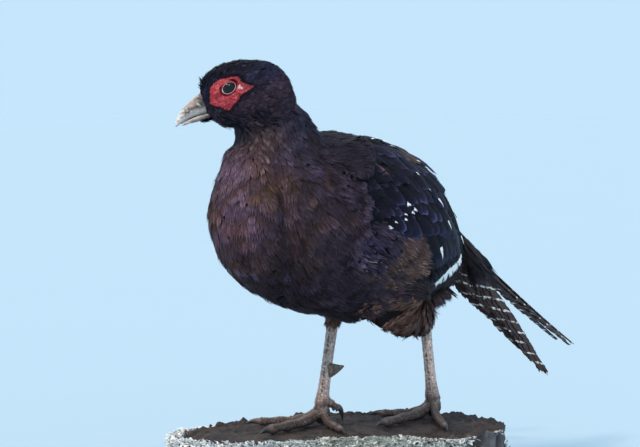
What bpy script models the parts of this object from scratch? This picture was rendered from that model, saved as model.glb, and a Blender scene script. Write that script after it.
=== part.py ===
"""Mounted Mikado pheasant cock, life size, standing on a log slab.

Metres, +Z up. The origin is the middle of the slab's flat underside. The trunk heads along -Y, so the bird's
left side is +X, and the head is turned towards its right. Heights in the tables below are above the slab's top.
"""

import math

import bmesh
import bpy
from mathutils import Matrix, Vector

GAP = 0.0003  # clearance that touching solids keep
SLAB_HEIGHT = 0.070
LEFT, RIGHT = 1, -1
SIDE_NAMES = {LEFT: "left", RIGHT: "right"}

# trunk and head tables: distance behind the middle, lowest, highest, half width
TRUNK = (
    (-0.124, 0.166, 0.188, 0.009),
    (-0.116, 0.142, 0.210, 0.029),
    (-0.097, 0.121, 0.230, 0.045),
    (-0.062, 0.103, 0.241, 0.057),
    (-0.020, 0.092, 0.242, 0.061),
    (0.025, 0.087, 0.236, 0.060),
    (0.065, 0.089, 0.221, 0.053),
    (0.096, 0.096, 0.201, 0.041),
    (0.118, 0.100, 0.179, 0.030),
    (0.1293, 0.102, 0.164, 0.023),
)
TRUNK_RINGS, TRUNK_SIDES = 17, 24

HEAD_AT = (-0.003, -0.103, 0.272)
HEAD_TURN, HEAD_NOD = math.radians(-42), math.radians(20)
HEAD = (
    (-0.0310, -0.0095, 0.0090, 0.0070),
    (-0.0270, -0.0145, 0.0158, 0.0108),
    (-0.0190, -0.0212, 0.0220, 0.0150),
    (-0.0060, -0.0280, 0.0250, 0.0185),
    (0.0080, -0.0300, 0.0240, 0.0195),
    (0.0200, -0.0300, 0.0200, 0.0185),
    (0.0300, -0.0270, 0.0130, 0.0150),
    (0.0370, -0.0200, 0.0000, 0.0080),
)
HEAD_RINGS, HEAD_SIDES = 12, 18

# neck: middle (x, y, height), half width across, half depth fore and aft
NECK = (
    ((0.000, -0.060, 0.200), 0.043, 0.048),
    ((0.000, -0.066, 0.222), 0.038, 0.040),
    ((-0.001, -0.074, 0.242), 0.030, 0.027),
    ((-0.001, -0.086, 0.259), 0.026, 0.027),
    ((-0.002, -0.093, 0.272), 0.020, 0.022),
)
NECK_RINGS, NECK_SIDES = 8, 20
# the thin cuts that part the body: a point on each cut, and the way it faces
HEAD_CUT = ((0.0, -0.100, 0.2465), (0.0, -0.32, 0.947))
TRUNK_CUT = ((0.0, -0.068, 0.2170), (0.0, -0.45, 0.893))

# bill, in the head's own frame: distance ahead, lowest, highest, half width
UPPER_BILL = (
    (0.0270, -0.0064, 0.0094, 0.0066),
    (0.0340, -0.0052, 0.0078, 0.0057),
    (0.0420, -0.0050, 0.0048, 0.0045),
    (0.0490, -0.0058, 0.0008, 0.0030),
    (0.0532, -0.0076, -0.0034, 0.0017),
    (0.0552, -0.0096, -0.0070, 0.0007),
)
LOWER_BILL = (
    (0.0260, -0.0108, -0.0069, 0.0056),
    (0.0340, -0.0098, -0.0057, 0.0047),
    (0.0430, -0.0088, -0.0055, 0.0034),
    (0.0505, -0.0090, -0.0068, 0.0016),
)
BILL_RINGS, BILL_SIDES = 9, 10

EYE_AT = (0.0136, -0.0076, 0.0062)
EYE_RADIUS = 0.0060
FACE_INNER = 0.0105  # the red face skin starts this far from the head's middle plane
FACE_OUTLINE = (  # distance ahead, height, in the head's frame
    (0.0247, 0.0017),
    (0.0203, 0.0130),
    (0.0123, 0.0149),
    (-0.0013, 0.0124),
    (-0.0050, 0.0056),
    (-0.0106, 0.0005),
    (0.0003, -0.0031),
    (0.0099, -0.0085),
    (0.0146, -0.0092),
    (0.0193, -0.0043),
)

# folded wing: distance behind, arc angles of the upper and lower edge above the side, thickness
WING = (
    (-0.052, 40, 4, 0.0020),
    (-0.036, 56, -16, 0.0060),
    (0.000, 66, -27, 0.0085),
    (0.040, 68, -30, 0.0085),
    (0.075, 66, -31, 0.0070),
    (0.098, 58, -33, 0.0050),
    (0.116, 34, -32, 0.0030),
    (0.124, 4, -26, 0.0020),
)
WING_RINGS, WING_ARC = 13, 7
WING_SINK = 0.004

# feathered thighs: middle (x, y, height), half width, half depth
THIGHS = {
    LEFT: (
        ((0.026, 0.030, 0.132), 0.014, 0.028),
        ((0.031, 0.035, 0.113), 0.019, 0.038),
        ((0.032, 0.040, 0.099), 0.020, 0.037),
        ((0.029, 0.052, 0.092), 0.0150, 0.0270),
        ((0.0258, 0.0735, 0.0850), 0.0085, 0.0095),
    ),
    RIGHT: (
        ((-0.026, -0.006, 0.128), 0.014, 0.024),
        ((-0.025, 0.000, 0.113), 0.014, 0.020),
        ((-0.022, 0.006, 0.101), 0.011, 0.013),
        ((-0.020, 0.011, 0.092), 0.0078, 0.0088),
        ((-0.0193, 0.0125, 0.085), 0.0068, 0.0078),
    ),
}
THIGH_RINGS, THIGH_SIDES = 7, 14

# scaled shanks: hock and foot joint, then what each ring adds
SHANK_ENDS = {
    LEFT: ((0.0245, 0.0745, 0.090), (0.0270, 0.0830, 0.015)),
    RIGHT: ((-0.0190, 0.0125, 0.090), (-0.0185, -0.0025, 0.015)),
}
SHANK = (  # share of the way down, half width, half depth
    (0.00, 0.0046, 0.0056),
    (0.15, 0.0040, 0.0052),
    (0.50, 0.0036, 0.0050),
    (0.80, 0.0042, 0.0052),
    (0.95, 0.0058, 0.0062),
    (1.00, 0.0052, 0.0056),
)
SHANK_RINGS, SHANK_SIDES = 8, 10
SPUR_SHARE, SPUR_LENGTH, SPUR_RADIUS = 0.61, 0.0145, 0.0064

# toes: heading from straight ahead towards +X, length, half thickness; toe 1 is the raised hind toe
TOES = {
    LEFT: {1: (205, 0.013, 0.0038), 2: (-42, 0.041, 0.0036), 3: (1, 0.058, 0.0045), 4: (52, 0.051, 0.0037)},
    RIGHT: {1: (146, 0.012, 0.0038), 2: (68, 0.036, 0.0036), 3: (0, 0.056, 0.0045), 4: (-37, 0.050, 0.0038)},
}
CLAW_LENGTH, CLAW_DROP = 0.012, 0.0045
HIND_CLAW_LENGTH, HIND_CLAW_DROP = 0.004, 0.009
HIND_TOE_RISE, HIND_TOE_END = 0.009, 0.0135
TOE_START = 0.005  # how far from the joint's middle the second and fourth toes spring
TOE_RINGS, TOE_SIDES, CLAW_RINGS, CLAW_SIDES = 7, 8, 5, 6

# tail: its root, its line, and each pair of feathers from the middle out
TAIL_ROOT = (0.0, 0.130, 0.1535)
TAIL_FALL = math.radians(36)
TAIL_SAG = 0.20  # how much the line curves up again, per metre
ROOF_WIDTH, ROOF_HEIGHT = 0.027, 0.055
ROOT_SPREAD = 0.70  # the roof's size at its root
FEATHER_LAYER, FEATHER_THICKNESS = 0.0017, 0.0007
TAIL_FEATHERS = (  # length, place across the roof (0 ridge, 1 eave), half width, extra fall along the way
    (0.225, 0.10, 0.0125, 0.000),
    (0.206, 0.31, 0.0125, 0.000),
    (0.172, 0.62, 0.0125, 0.013),
    (0.162, 0.70, 0.0120, 0.013),
    (0.142, 0.78, 0.0115, 0.013),
    (0.120, 0.85, 0.0110, 0.013),
    (0.096, 0.91, 0.0100, 0.013),
    (0.072, 0.96, 0.0090, 0.013),
)
FEATHER_RINGS = 7
COVERT_LENGTH, COVERT_THICKNESS, COVERT_CLEARANCE = 0.056, 0.008, 0.0016

SLAB_LONG, SLAB_SHORT = 0.137, 0.064
SLAB_TURN = math.radians(60)
SLAB_LOBES = ((2, 0.020, 0.6), (3, 0.045, 2.1), (5, 0.022, 0.4), (9, 0.012, 1.3))
SLAB_SIDES = 44
SLAB_TOP_ROUGH = 0.0028

COLOURS = {
    "feather_black": ((0.030, 0.024, 0.034), 0.55),
    "feather_brown": ((0.090, 0.045, 0.026), 0.75),
    "tail_black": ((0.035, 0.028, 0.030), 0.50),
    "face_red": ((0.480, 0.030, 0.030), 0.55),
    "horn_bill": ((0.480, 0.400, 0.350), 0.40),
    "leg_scales": ((0.300, 0.230, 0.200), 0.55),
    "claw_horn": ((0.060, 0.040, 0.034), 0.40),
    "glass_eye": ((0.012, 0.010, 0.012), 0.08),
    "slab_wood": ((0.100, 0.070, 0.055), 0.90),
}


def tidy_scene():
    for obj in list(bpy.data.objects):
        bpy.data.objects.remove(obj, do_unlink=True)


def collection(name):
    made = bpy.data.collections.new(name)
    bpy.context.scene.collection.children.link(made)
    return made


def material(name):
    colour, roughness = COLOURS[name]
    made = bpy.data.materials.get(name) or bpy.data.materials.new(name)
    made.use_nodes = True
    shader = made.node_tree.nodes["Principled BSDF"]
    shader.inputs["Base Color"].default_value = (*colour, 1.0)
    shader.inputs["Roughness"].default_value = roughness
    return made


def above_slab(x, y, height):
    return Vector((x, y, SLAB_HEIGHT + height))


def head_frame():
    turn = Matrix.Rotation(HEAD_TURN, 4, "Z") @ Matrix.Rotation(HEAD_NOD, 4, "X")
    return Matrix.Translation(above_slab(*HEAD_AT)) @ turn


def smooth_rows(rows, count):
    """The table's rows resampled to count rows along a Catmull-Rom curve through them."""
    flat = [[n for item in row for n in (item if isinstance(item, tuple) else (item,))] for row in rows]
    spans = len(flat) - 1
    made = []
    for k in range(count):
        at = k * spans / (count - 1)
        i = min(int(at), spans - 1)
        t = at - i
        a, b, c, d = (flat[min(max(j, 0), spans)] for j in (i - 1, i, i + 1, i + 2))
        made.append([
            0.5 * (2 * q + (r - p) * t + (2 * p - 5 * q + 4 * r - s) * t * t + (3 * q - p - 3 * r + s) * t ** 3)
            for p, q, r, s in zip(a, b, c, d)
        ])
    return made


def solid(name, rings, material_name, into):
    """A closed mesh through rings of equal length, with a flat cap at each end."""
    mesh = bmesh.new()
    loops = [[mesh.verts.new(point) for point in ring] for ring in rings]
    sides = len(loops[0])
    for low, high in zip(loops, loops[1:]):
        for k in range(sides):
            mesh.faces.new((low[k], low[(k + 1) % sides], high[(k + 1) % sides], high[k]))
    mesh.faces.new(list(reversed(loops[0])))
    mesh.faces.new(loops[-1])
    bmesh.ops.recalc_face_normals(mesh, faces=mesh.faces)
    return placed(name, mesh, material_name, into)


def placed(name, mesh, material_name, into):
    data = bpy.data.meshes.new(name)
    mesh.to_mesh(data)
    mesh.free()
    if data.attributes.get("sharp_face") is None:
        data.shade_smooth()
    data.set_sharp_from_angle(angle=math.radians(40))
    made = bpy.data.objects.new(name, data)
    data.materials.append(material(material_name))
    into.objects.link(made)
    return made


def section_point(low, high, half_width, angle):
    """A point of an egg-shaped section: angle 0 is its side, and a quarter turn its top."""
    middle = (low + high) / 2
    return half_width * math.cos(angle), middle + (high - low) / 2 * math.sin(angle)


def section_rings(rows, count, sides, frame, ahead=1):
    rings = []
    for y, low, high, half_width in smooth_rows(rows, count):
        ring = []
        for k in range(sides):
            x, z = section_point(low, high, half_width, k * math.tau / sides)
            ring.append(frame @ Vector((x, ahead * y, z)))
        rings.append(ring)
    return rings


def limb_rings(rows, count, sides):
    """Elliptical rings square to a limb's own line. Each row holds middle, half width, half depth."""
    rows = smooth_rows(rows, count)
    middles = [above_slab(*row[:3]) for row in rows]
    rings = []
    for i, row in enumerate(rows):
        along = (middles[min(i + 1, count - 1)] - middles[max(i - 1, 0)]).normalized()
        depth = along.cross(Vector((1, 0, 0))).normalized()
        across = depth.cross(along).normalized()
        ring = []
        for k in range(sides):
            angle = k * math.tau / sides
            ring.append(middles[i] + across * row[3] * math.cos(angle) + depth * row[4] * math.sin(angle))
        rings.append(ring)
    return rings


def grown(obj, by, cutters):
    """A hidden copy of a solid, moved out along its normals, that cuts room for it out of a neighbour."""
    mesh = bmesh.new()
    mesh.from_mesh(obj.evaluated_get(bpy.context.evaluated_depsgraph_get()).to_mesh())
    mesh.normal_update()
    moves = [vert.normal * by for vert in mesh.verts]
    for vert, move in zip(mesh.verts, moves):
        vert.co += move
    data = bpy.data.meshes.new(obj.name + "_cutter")
    mesh.to_mesh(data)
    mesh.free()
    cutter = bpy.data.objects.new(data.name, data)
    cutter.hide_render = True
    cutter.display_type = "WIRE"
    cutters.objects.link(cutter)
    return cutter


def combined(obj, other, operation):
    """Applies one Boolean to obj, and leaves the other solid as it is."""
    modifier = obj.modifiers.new(operation.lower(), "BOOLEAN")
    modifier.operation = operation
    modifier.object = other
    modifier.solver = "EXACT"
    modifier.use_self = True
    bpy.context.view_layer.update()
    graph = bpy.context.evaluated_depsgraph_get()
    data = bpy.data.meshes.new_from_object(obj.evaluated_get(graph))
    obj.modifiers.clear()
    obj.data = data
    keep_main_body(obj)
    return obj


def keep_main_body(obj):
    """Drops the slivers that a cut leaves beside the main body."""
    mesh = bmesh.new()
    mesh.from_mesh(obj.data)
    bodies, seen = [], set()
    for start in mesh.verts:
        if start in seen:
            continue
        body, waiting = [], [start]
        seen.add(start)
        while waiting:
            vert = waiting.pop()
            body.append(vert)
            for edge in vert.link_edges:
                other = edge.other_vert(vert)
                if other not in seen:
                    seen.add(other)
                    waiting.append(other)
        bodies.append(body)
    slivers = sorted(bodies, key=spread_of)[:-1]
    bmesh.ops.delete(mesh, geom=[vert for body in slivers for vert in body], context="VERTS")
    mesh.to_mesh(obj.data)
    mesh.free()


def spread_of(body):
    """The size of a body's box, by which the main one is told from the slivers."""
    spans = [max(vert.co[axis] for vert in body) - min(vert.co[axis] for vert in body) for axis in range(3)]
    return spans[0] * spans[1] * spans[2]


def make_body(into, cutters):
    """Trunk, neck and head modelled as one form, then parted by two thin cuts."""
    frame = Matrix.Translation((0, 0, SLAB_HEIGHT))
    body = solid("body", section_rings(TRUNK, TRUNK_RINGS, TRUNK_SIDES, frame), "feather_black", cutters)
    neck = solid("neck_form", limb_rings(NECK, NECK_RINGS, NECK_SIDES), "feather_black", cutters)
    head = solid("head_form", section_rings(HEAD, HEAD_RINGS, HEAD_SIDES, head_frame()), "feather_black", cutters)
    combined(combined(body, neck, "UNION"), head, "UNION")
    for form in (body, neck, head):
        form.hide_render = True
        form.display_type = "WIRE"
    parts = (
        ("head", (half_space("below_head_cut", HEAD_CUT, -1, cutters),)),
        ("neck", (half_space("above_head_cut", HEAD_CUT, 1, cutters),
                  half_space("below_trunk_cut", TRUNK_CUT, -1, cutters))),
        ("trunk", (half_space("above_trunk_cut", TRUNK_CUT, 1, cutters),)),
    )
    made = {}
    for name, spaces in parts:
        made[name] = bpy.data.objects.new(name, body.data.copy())
        into.objects.link(made[name])
        for space in spaces:
            combined(made[name], space, "DIFFERENCE")
    return made["trunk"], made["head"]


def half_space(name, cut, side, cutters):
    """A big box on one side of a cut, its face half a gap short of it, so that two parts lie a gap apart."""
    point, facing = above_slab(*cut[0]), Vector(cut[1]).normalized()
    size = 0.6
    mesh = bmesh.new()
    bmesh.ops.create_cube(mesh, size=size)
    middle = point + facing * side * (size / 2 - GAP / 2)
    mesh.transform(Matrix.Translation(middle) @ facing.to_track_quat("Z", "Y").to_matrix().to_4x4())
    box = placed(name, mesh, "feather_black", cutters)
    box.hide_render = True
    box.display_type = "WIRE"
    return box


def make_bill(head, into, cutters):
    for name, table in (("bill_upper", UPPER_BILL), ("bill_lower", LOWER_BILL)):
        rings = section_rings(table, BILL_RINGS, BILL_SIDES, head_frame(), ahead=-1)
        bill = solid(name, rings, "horn_bill", into)
        combined(head, grown(bill, GAP, cutters), "DIFFERENCE")


def make_eye(side, head, into, cutters):
    mesh = bmesh.new()
    bmesh.ops.create_uvsphere(mesh, u_segments=14, v_segments=8, radius=EYE_RADIUS)
    x, y, z = EYE_AT
    mesh.transform(head_frame() @ Matrix.Translation((side * x, y, z)) @ Matrix.Rotation(math.pi / 2, 4, "Y"))
    eye = placed("eye_" + SIDE_NAMES[side], mesh, "glass_eye", into)
    cutter = grown(eye, GAP, cutters)
    combined(head, cutter, "DIFFERENCE")
    return cutter


def face_prism(side, inner, grow, cutters):
    """The red face skin's outline as a prism along the head's own X axis."""
    points = [Vector((ahead, up)) for ahead, up in FACE_OUTLINE]
    middle = sum(points, Vector((0, 0))) / len(points)
    rows = smooth_rows([tuple(p) for p in points + points[:1]], 2 * len(points) + 1)[:-1]
    frame = head_frame()
    rings = []
    for x in (inner, 0.030):
        ring = []
        for ahead, up in rows:
            away = Vector((ahead, up)) - middle
            away *= 1 + grow / away.length
            ring.append(frame @ Vector((side * x, -(middle.x + away.x), middle.y + away.y)))
        rings.append(ring)
    prism = solid("face_prism_" + SIDE_NAMES[side], rings, "face_red", cutters)
    prism.hide_render = True
    prism.display_type = "WIRE"
    return prism


def make_face(side, head, eye_cutter, into, cutters):
    face = head.copy()
    face.data = head.data.copy()
    face.name = "face_" + SIDE_NAMES[side]
    face.data.materials.clear()
    face.data.materials.append(material("face_red"))
    into.objects.link(face)
    combined(face, face_prism(side, FACE_INNER, 0, cutters), "INTERSECT")
    combined(face, eye_cutter, "DIFFERENCE")
    combined(head, face_prism(side, FACE_INNER - GAP, GAP, cutters), "DIFFERENCE")


def make_wing(side, trunk, into, cutters):
    """A shell that lies on the trunk's flank and narrows to the wing's tip."""
    trunk_rows = smooth_rows(TRUNK, 60)
    rings = []
    for y, upper, lower, thick in smooth_rows(WING, WING_RINGS):
        _, low, high, half_width = min(trunk_rows, key=lambda row: abs(row[0] - y))
        outer, inner = [], []
        for k in range(WING_ARC):
            share = k / (WING_ARC - 1)
            angle = math.radians(upper + (lower - upper) * share)
            x, z = section_point(low, high, half_width, angle)
            out = Vector((math.cos(angle), 0, math.sin(angle)))
            swell = math.sin(math.pi * (0.1 + 0.8 * share))
            at = Vector((x, y, z + SLAB_HEIGHT))
            outer.append(at + out * thick * swell)
            inner.append(at - out * WING_SINK)
        ring = outer + inner[::-1]
        rings.append([Vector((side * p.x, p.y, p.z)) for p in ring])
    wing = solid("wing_" + SIDE_NAMES[side], rings, "feather_black", into)
    return combined(wing, grown(trunk, GAP, cutters), "DIFFERENCE")


def make_leg(side, trunk, wing, into, cutters):
    name = SIDE_NAMES[side]
    hock, joint = (Vector(end) for end in SHANK_ENDS[side])
    rows = [(tuple(hock.lerp(joint, share)), wide, deep) for share, wide, deep in SHANK]
    shank = solid("shank_" + name, limb_rings(rows, SHANK_RINGS, SHANK_SIDES), "leg_scales", into)
    thigh = solid("thigh_" + name, limb_rings(THIGHS[side], THIGH_RINGS, THIGH_SIDES), "feather_brown", into)
    for neighbour in (trunk, wing, shank):
        combined(thigh, grown(neighbour, GAP, cutters), "DIFFERENCE")
    make_spur(side, shank, into, cutters)
    make_foot(side, shank, into, cutters)


def make_spur(side, shank, into, cutters):
    """A blunt cone on the shank's inner rear edge, tipped slightly up."""
    hock, joint = (above_slab(*end) for end in SHANK_ENDS[side])
    out = Vector((-side, 1.0, 0.12)).normalized()
    mesh = bmesh.new()
    bmesh.ops.create_cone(mesh, cap_ends=True, segments=10, radius1=SPUR_RADIUS, radius2=0.0007, depth=SPUR_LENGTH)
    turn = out.to_track_quat("Z", "Y").to_matrix().to_4x4()
    mesh.transform(Matrix.Translation(hock.lerp(joint, SPUR_SHARE) + out * SPUR_LENGTH / 2) @ turn)
    spur = placed("spur_" + SIDE_NAMES[side], mesh, "claw_horn", into)
    combined(spur, grown(shank, GAP, cutters), "DIFFERENCE")


def toe_rows(start, heading, length, thick, raised):
    """A toe's rows, from the foot's joint out and down to the slab, or for the raised toe short of it."""
    end_height = HIND_TOE_END if raised else thick + GAP
    rows = []
    for share in (0.0, 0.22, 0.42, 0.62, 0.82, 1.0):
        fall = share if raised else 1 - (1 - min(share / 0.5, 1.0)) ** 2
        height = start.z + (end_height - start.z) * fall
        knuckle = 1 + 0.10 * math.cos(share * 6 * math.pi)
        at = (start.x + heading.x * length * share, start.y + heading.y * length * share, max(height, end_height))
        size = thick * knuckle * (1 - 0.22 * share)
        rows.append((at, size, size))
    return rows


def claw_rows(tip, heading, thick, raised):
    """A claw's rows, arched over and down from the toe's end. The hind toe's claw hooks straight down."""
    length, fall = (HIND_CLAW_LENGTH, HIND_CLAW_DROP) if raised else (CLAW_LENGTH, CLAW_DROP * 0.55)
    rows = []
    for share in (0.0, 0.35, 0.7, 1.0):
        rise = 0.0012 * math.sin(math.pi * share * 0.7)
        reach = length * math.sin(share * math.pi / 2) if raised else length * share
        size = thick * 0.72 * (1 - share) + 0.0005
        height = max(tip[2] + rise - fall * share ** 2, size + GAP)
        rows.append(((tip[0] + heading.x * reach, tip[1] + heading.y * reach, height), size * 0.8, size))
    return rows


def limb_along(rows, count, sides):
    """Like limb_rings, for a limb that lies flat and may head any way."""
    rows = smooth_rows(rows, count)
    middles = [above_slab(*row[:3]) for row in rows]
    rings = []
    for i, row in enumerate(rows):
        along = (middles[min(i + 1, count - 1)] - middles[max(i - 1, 0)]).normalized()
        across = along.cross(Vector((0, 0, 1))).normalized()
        upright = across.cross(along).normalized()
        ring = []
        for k in range(sides):
            angle = k * math.tau / sides
            ring.append(middles[i] + across * row[3] * math.cos(angle) + upright * row[4] * math.sin(angle))
        rings.append(ring)
    return rings


def make_foot(side, shank, into, cutters):
    """Four toes that spring from the shank's lower end. Each is cut clear of the shank and of the toes before it."""
    joint = Vector(SHANK_ENDS[side][1])
    name = SIDE_NAMES[side]
    room = [grown(shank, GAP, cutters)]
    for number in (3, 4, 2, 1):
        degrees, length, thick = TOES[side][number]
        heading = Vector((math.sin(math.radians(degrees)), -math.cos(math.radians(degrees)), 0))
        raised = number == 1
        ahead = TOE_START if number in (2, 4) else 0
        start = joint + heading * ahead + Vector((0, 0, HIND_TOE_RISE if raised else -0.004))
        rows = toe_rows(start, heading, length - ahead, thick, raised)
        toe = solid(f"toe_{name}_{number}", limb_along(rows, TOE_RINGS, TOE_SIDES), "leg_scales", into)
        for cutter in room[:1] if raised else room:
            combined(toe, cutter, "DIFFERENCE")
        room.append(grown(toe, GAP, cutters))
        tip, size = rows[-1][0], rows[-1][1]
        rings = limb_along(claw_rows(tip, heading, size, raised), CLAW_RINGS, CLAW_SIDES)
        claw = solid(f"claw_{name}_{number}", rings, "claw_horn", into)
        combined(claw, room[-1], "DIFFERENCE")


def roof_spread(along):
    return ROOT_SPREAD + (1 - ROOT_SPREAD) * min(along / 0.10, 1.0)


def tail_point(along, across, up, fall=0.0):
    """A place on the tail's roof: metres along it, share across (0 ridge, 1 left eave), height over its surface.

    The last value lets one feather hang below the roof, more the further along it is.
    """
    y = along * math.cos(TAIL_FALL)
    z = -along * math.sin(TAIL_FALL) + TAIL_SAG * along * along - fall * (along / 0.15) ** 2
    spread = roof_spread(along)
    angle = across * math.radians(84)
    out = Vector((math.sin(angle), 0, math.cos(angle)))
    x = ROOF_WIDTH * spread * math.sin(angle)
    drop = ROOF_HEIGHT * spread * (1 - math.cos(angle))
    return above_slab(*TAIL_ROOT) + Vector((x, y, z - drop)) + out * up


def feather_half_width(share, widest):
    """A tapering vane: full soon after the root, then narrowing to a soft point."""
    return widest * min(1.0, 0.62 + share * 3) * (1 - max(share - 0.25, 0) / 0.75 * 0.86)


def make_tail_feather(side, number, into):
    """One thin vane of the roof, a layer below the feather it tucks under. The middle pair crosses on the ridge."""
    length, across, widest, fall = TAIL_FEATHERS[number]
    crosses = number == 0
    top = -FEATHER_LAYER * (side == RIGHT if crosses else number + 1)
    turns = (-1.0, -0.5, 0.0, 0.5, 1.0) if crosses else (-1.0, 0.0, 1.0)
    rings = []
    for k in range(FEATHER_RINGS):
        share = k / (FEATHER_RINGS - 1)
        along = length * share
        half = feather_half_width(share, widest) / ROOF_HEIGHT
        edges = [side * across + turn * half for turn in turns]
        upper = [tail_point(along, edge, top, fall) for edge in edges]
        lower = [tail_point(along, edge, top - FEATHER_THICKNESS, fall) for edge in reversed(edges)]
        rings.append(upper + lower)
    return solid(f"tail_feather_{SIDE_NAMES[side]}_{number + 1}", rings, "tail_black", into)


def make_tail_coverts(into):
    """The soft cone of small feathers over the tail's root."""
    steps, arc = 7, 9
    rings = []
    for k in range(steps):
        share = k / (steps - 1)
        along = COVERT_LENGTH * share
        reach = 1.02 - 0.55 * share
        top = COVERT_CLEARANCE + COVERT_THICKNESS * (1 - 0.85 * share)
        edges = [reach * (2 * j / (arc - 1) - 1) for j in range(arc)]
        ring = [tail_point(along, edge, top) for edge in edges]
        ring += [tail_point(along, edge, COVERT_CLEARANCE) for edge in reversed(edges)]
        rings.append(ring)
    solid("tail_coverts", rings, "feather_black", into)


def slab_radius(angle):
    """The slab's uneven outline: an ellipse with a few lobes."""
    turned = angle - SLAB_TURN
    oval = SLAB_LONG * SLAB_SHORT / math.hypot(SLAB_SHORT * math.cos(turned), SLAB_LONG * math.sin(turned))
    return oval * (1 + sum(size * math.cos(count * turned + phase) for count, size, phase in SLAB_LOBES))


def make_slab(into):
    """A cut log slab, flat below, with a rough top that stays level where the bird stands."""
    rings = []
    for height, shrink in ((0.0, 0.985), (0.012, 1.0), (0.052, 1.0), (0.064, 0.990), (0.069, 0.960)):
        ring = []
        for k in range(SLAB_SIDES):
            angle = k * math.tau / SLAB_SIDES
            wave = 0.0 if height == 0 else 0.008 * math.sin(7 * angle + 60 * height)
            radius = slab_radius(angle) * shrink * (1 + wave)
            ring.append(Vector((radius * math.cos(angle), radius * math.sin(angle), height)))
        rings.append(ring)
    for shrink in (0.80, 0.45):
        ring = []
        for k in range(SLAB_SIDES):
            angle = k * math.tau / SLAB_SIDES
            radius = slab_radius(angle) * shrink
            rough = SLAB_TOP_ROUGH * (math.sin(3 * angle + 9 * shrink) * 0.5 - 0.5) * (shrink > 0.7)
            ring.append(Vector((radius * math.cos(angle), radius * math.sin(angle), SLAB_HEIGHT + rough)))
        rings.append(ring)
    return solid("slab", rings, "slab_wood", into)


def main():
    tidy_scene()
    bird = collection("mounted_pheasant")
    cutters = collection("cutters")
    trunk, head = make_body(bird, cutters)
    make_bill(head, bird, cutters)
    for side in (LEFT, RIGHT):
        eye_cutter = make_eye(side, head, bird, cutters)
        make_face(side, head, eye_cutter, bird, cutters)
        wing = make_wing(side, trunk, bird, cutters)
        make_leg(side, trunk, wing, bird, cutters)
        for number in range(len(TAIL_FEATHERS)):
            make_tail_feather(side, number, bird)
    make_tail_coverts(bird)
    make_slab(bird)


main()
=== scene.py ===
import math

import bmesh
import bpy
import numpy as np
from mathutils import Matrix, Vector, noise
from mathutils.bvhtree import BVHTree


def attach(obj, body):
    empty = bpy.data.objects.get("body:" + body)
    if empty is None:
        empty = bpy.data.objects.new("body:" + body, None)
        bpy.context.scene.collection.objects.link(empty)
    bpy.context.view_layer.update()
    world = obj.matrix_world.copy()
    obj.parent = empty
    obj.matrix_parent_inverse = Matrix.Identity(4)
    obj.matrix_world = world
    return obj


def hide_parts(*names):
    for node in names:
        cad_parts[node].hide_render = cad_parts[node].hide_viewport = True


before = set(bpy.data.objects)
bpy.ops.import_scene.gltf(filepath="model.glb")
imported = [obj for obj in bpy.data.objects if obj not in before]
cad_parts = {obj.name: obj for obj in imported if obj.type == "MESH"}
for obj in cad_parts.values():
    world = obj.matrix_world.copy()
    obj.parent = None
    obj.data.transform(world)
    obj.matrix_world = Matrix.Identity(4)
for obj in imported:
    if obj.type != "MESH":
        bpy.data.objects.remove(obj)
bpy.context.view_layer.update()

bl_info = {
    "name": "Mounted Mikado pheasant",
    "version": (1, 0, 0),
    "blender": (4, 5, 0),
    "location": "View3D > Sidebar > Pheasant",
    "description": "Skin, plumage, bare parts and log slab of a mounted pheasant cock",
    "category": "Object",
}

SLAB_TOP = 0.07
MM = 0.001
LEFT, RIGHT = 1, -1
BODY_COAT, HEAD_COAT = 3.0 * MM, 1.25 * MM  # how deep the plumage is
EASE_ALL, EASE_THROAT = 4, 45  # passes that soften the skin
TRACT_BLEND = 60  # how widely neighbouring tracts run into each other, in square millimetres
COMB_STEPS = 5
THIGH_GAP = 1.35 * MM
BARB_STREAK, BARB_RELIEF = 0.45, 0.35
SIDE_NAMES = {LEFT: "left", RIGHT: "right"}
FLESH = ("trunk", "neck", "head", "thigh_left", "thigh_right", "wing_left", "wing_right", "tail_coverts")

HEAD_AT = (-0.003, -0.103, 0.272)
HEAD_TURN, HEAD_NOD = math.radians(-42), math.radians(20)
HEAD_FRAME = (Matrix.Translation((HEAD_AT[0], HEAD_AT[1], HEAD_AT[2] + SLAB_TOP)) @ Matrix.Rotation(HEAD_TURN, 4,
    "Z") @ Matrix.Rotation(HEAD_NOD, 4, "X"))
HEAD_CUT_AT, HEAD_CUT_UP = np.array((0.0, -0.1, 0.2465 + SLAB_TOP)), np.array((0.0, -0.32, 0.947))
BILL_BASE = np.array((0.0, -0.034, -0.001))
EYE_AT, EYE_RADIUS = np.array((0.0136, -0.0076, 0.0062)), 0.006
SOCKET_GAP = 0.0001
EYE_OPENING, EYE_TILT = (0.0052, 0.0038), math.radians(16)
FACE_OUTLINE = (  # distance ahead, height, in the head's frame
    (0.0258, -0.0008), (0.0236, 0.0062), (0.02, 0.0122), (0.0123, 0.0147), (-0.0005, 0.0124), (-0.0048, 0.0058),
    (-0.0106, 0.0005), (0.0, -0.0027), (0.0095, -0.0084), (0.0142, -0.0094), (0.02, -0.0052),
)

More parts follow.
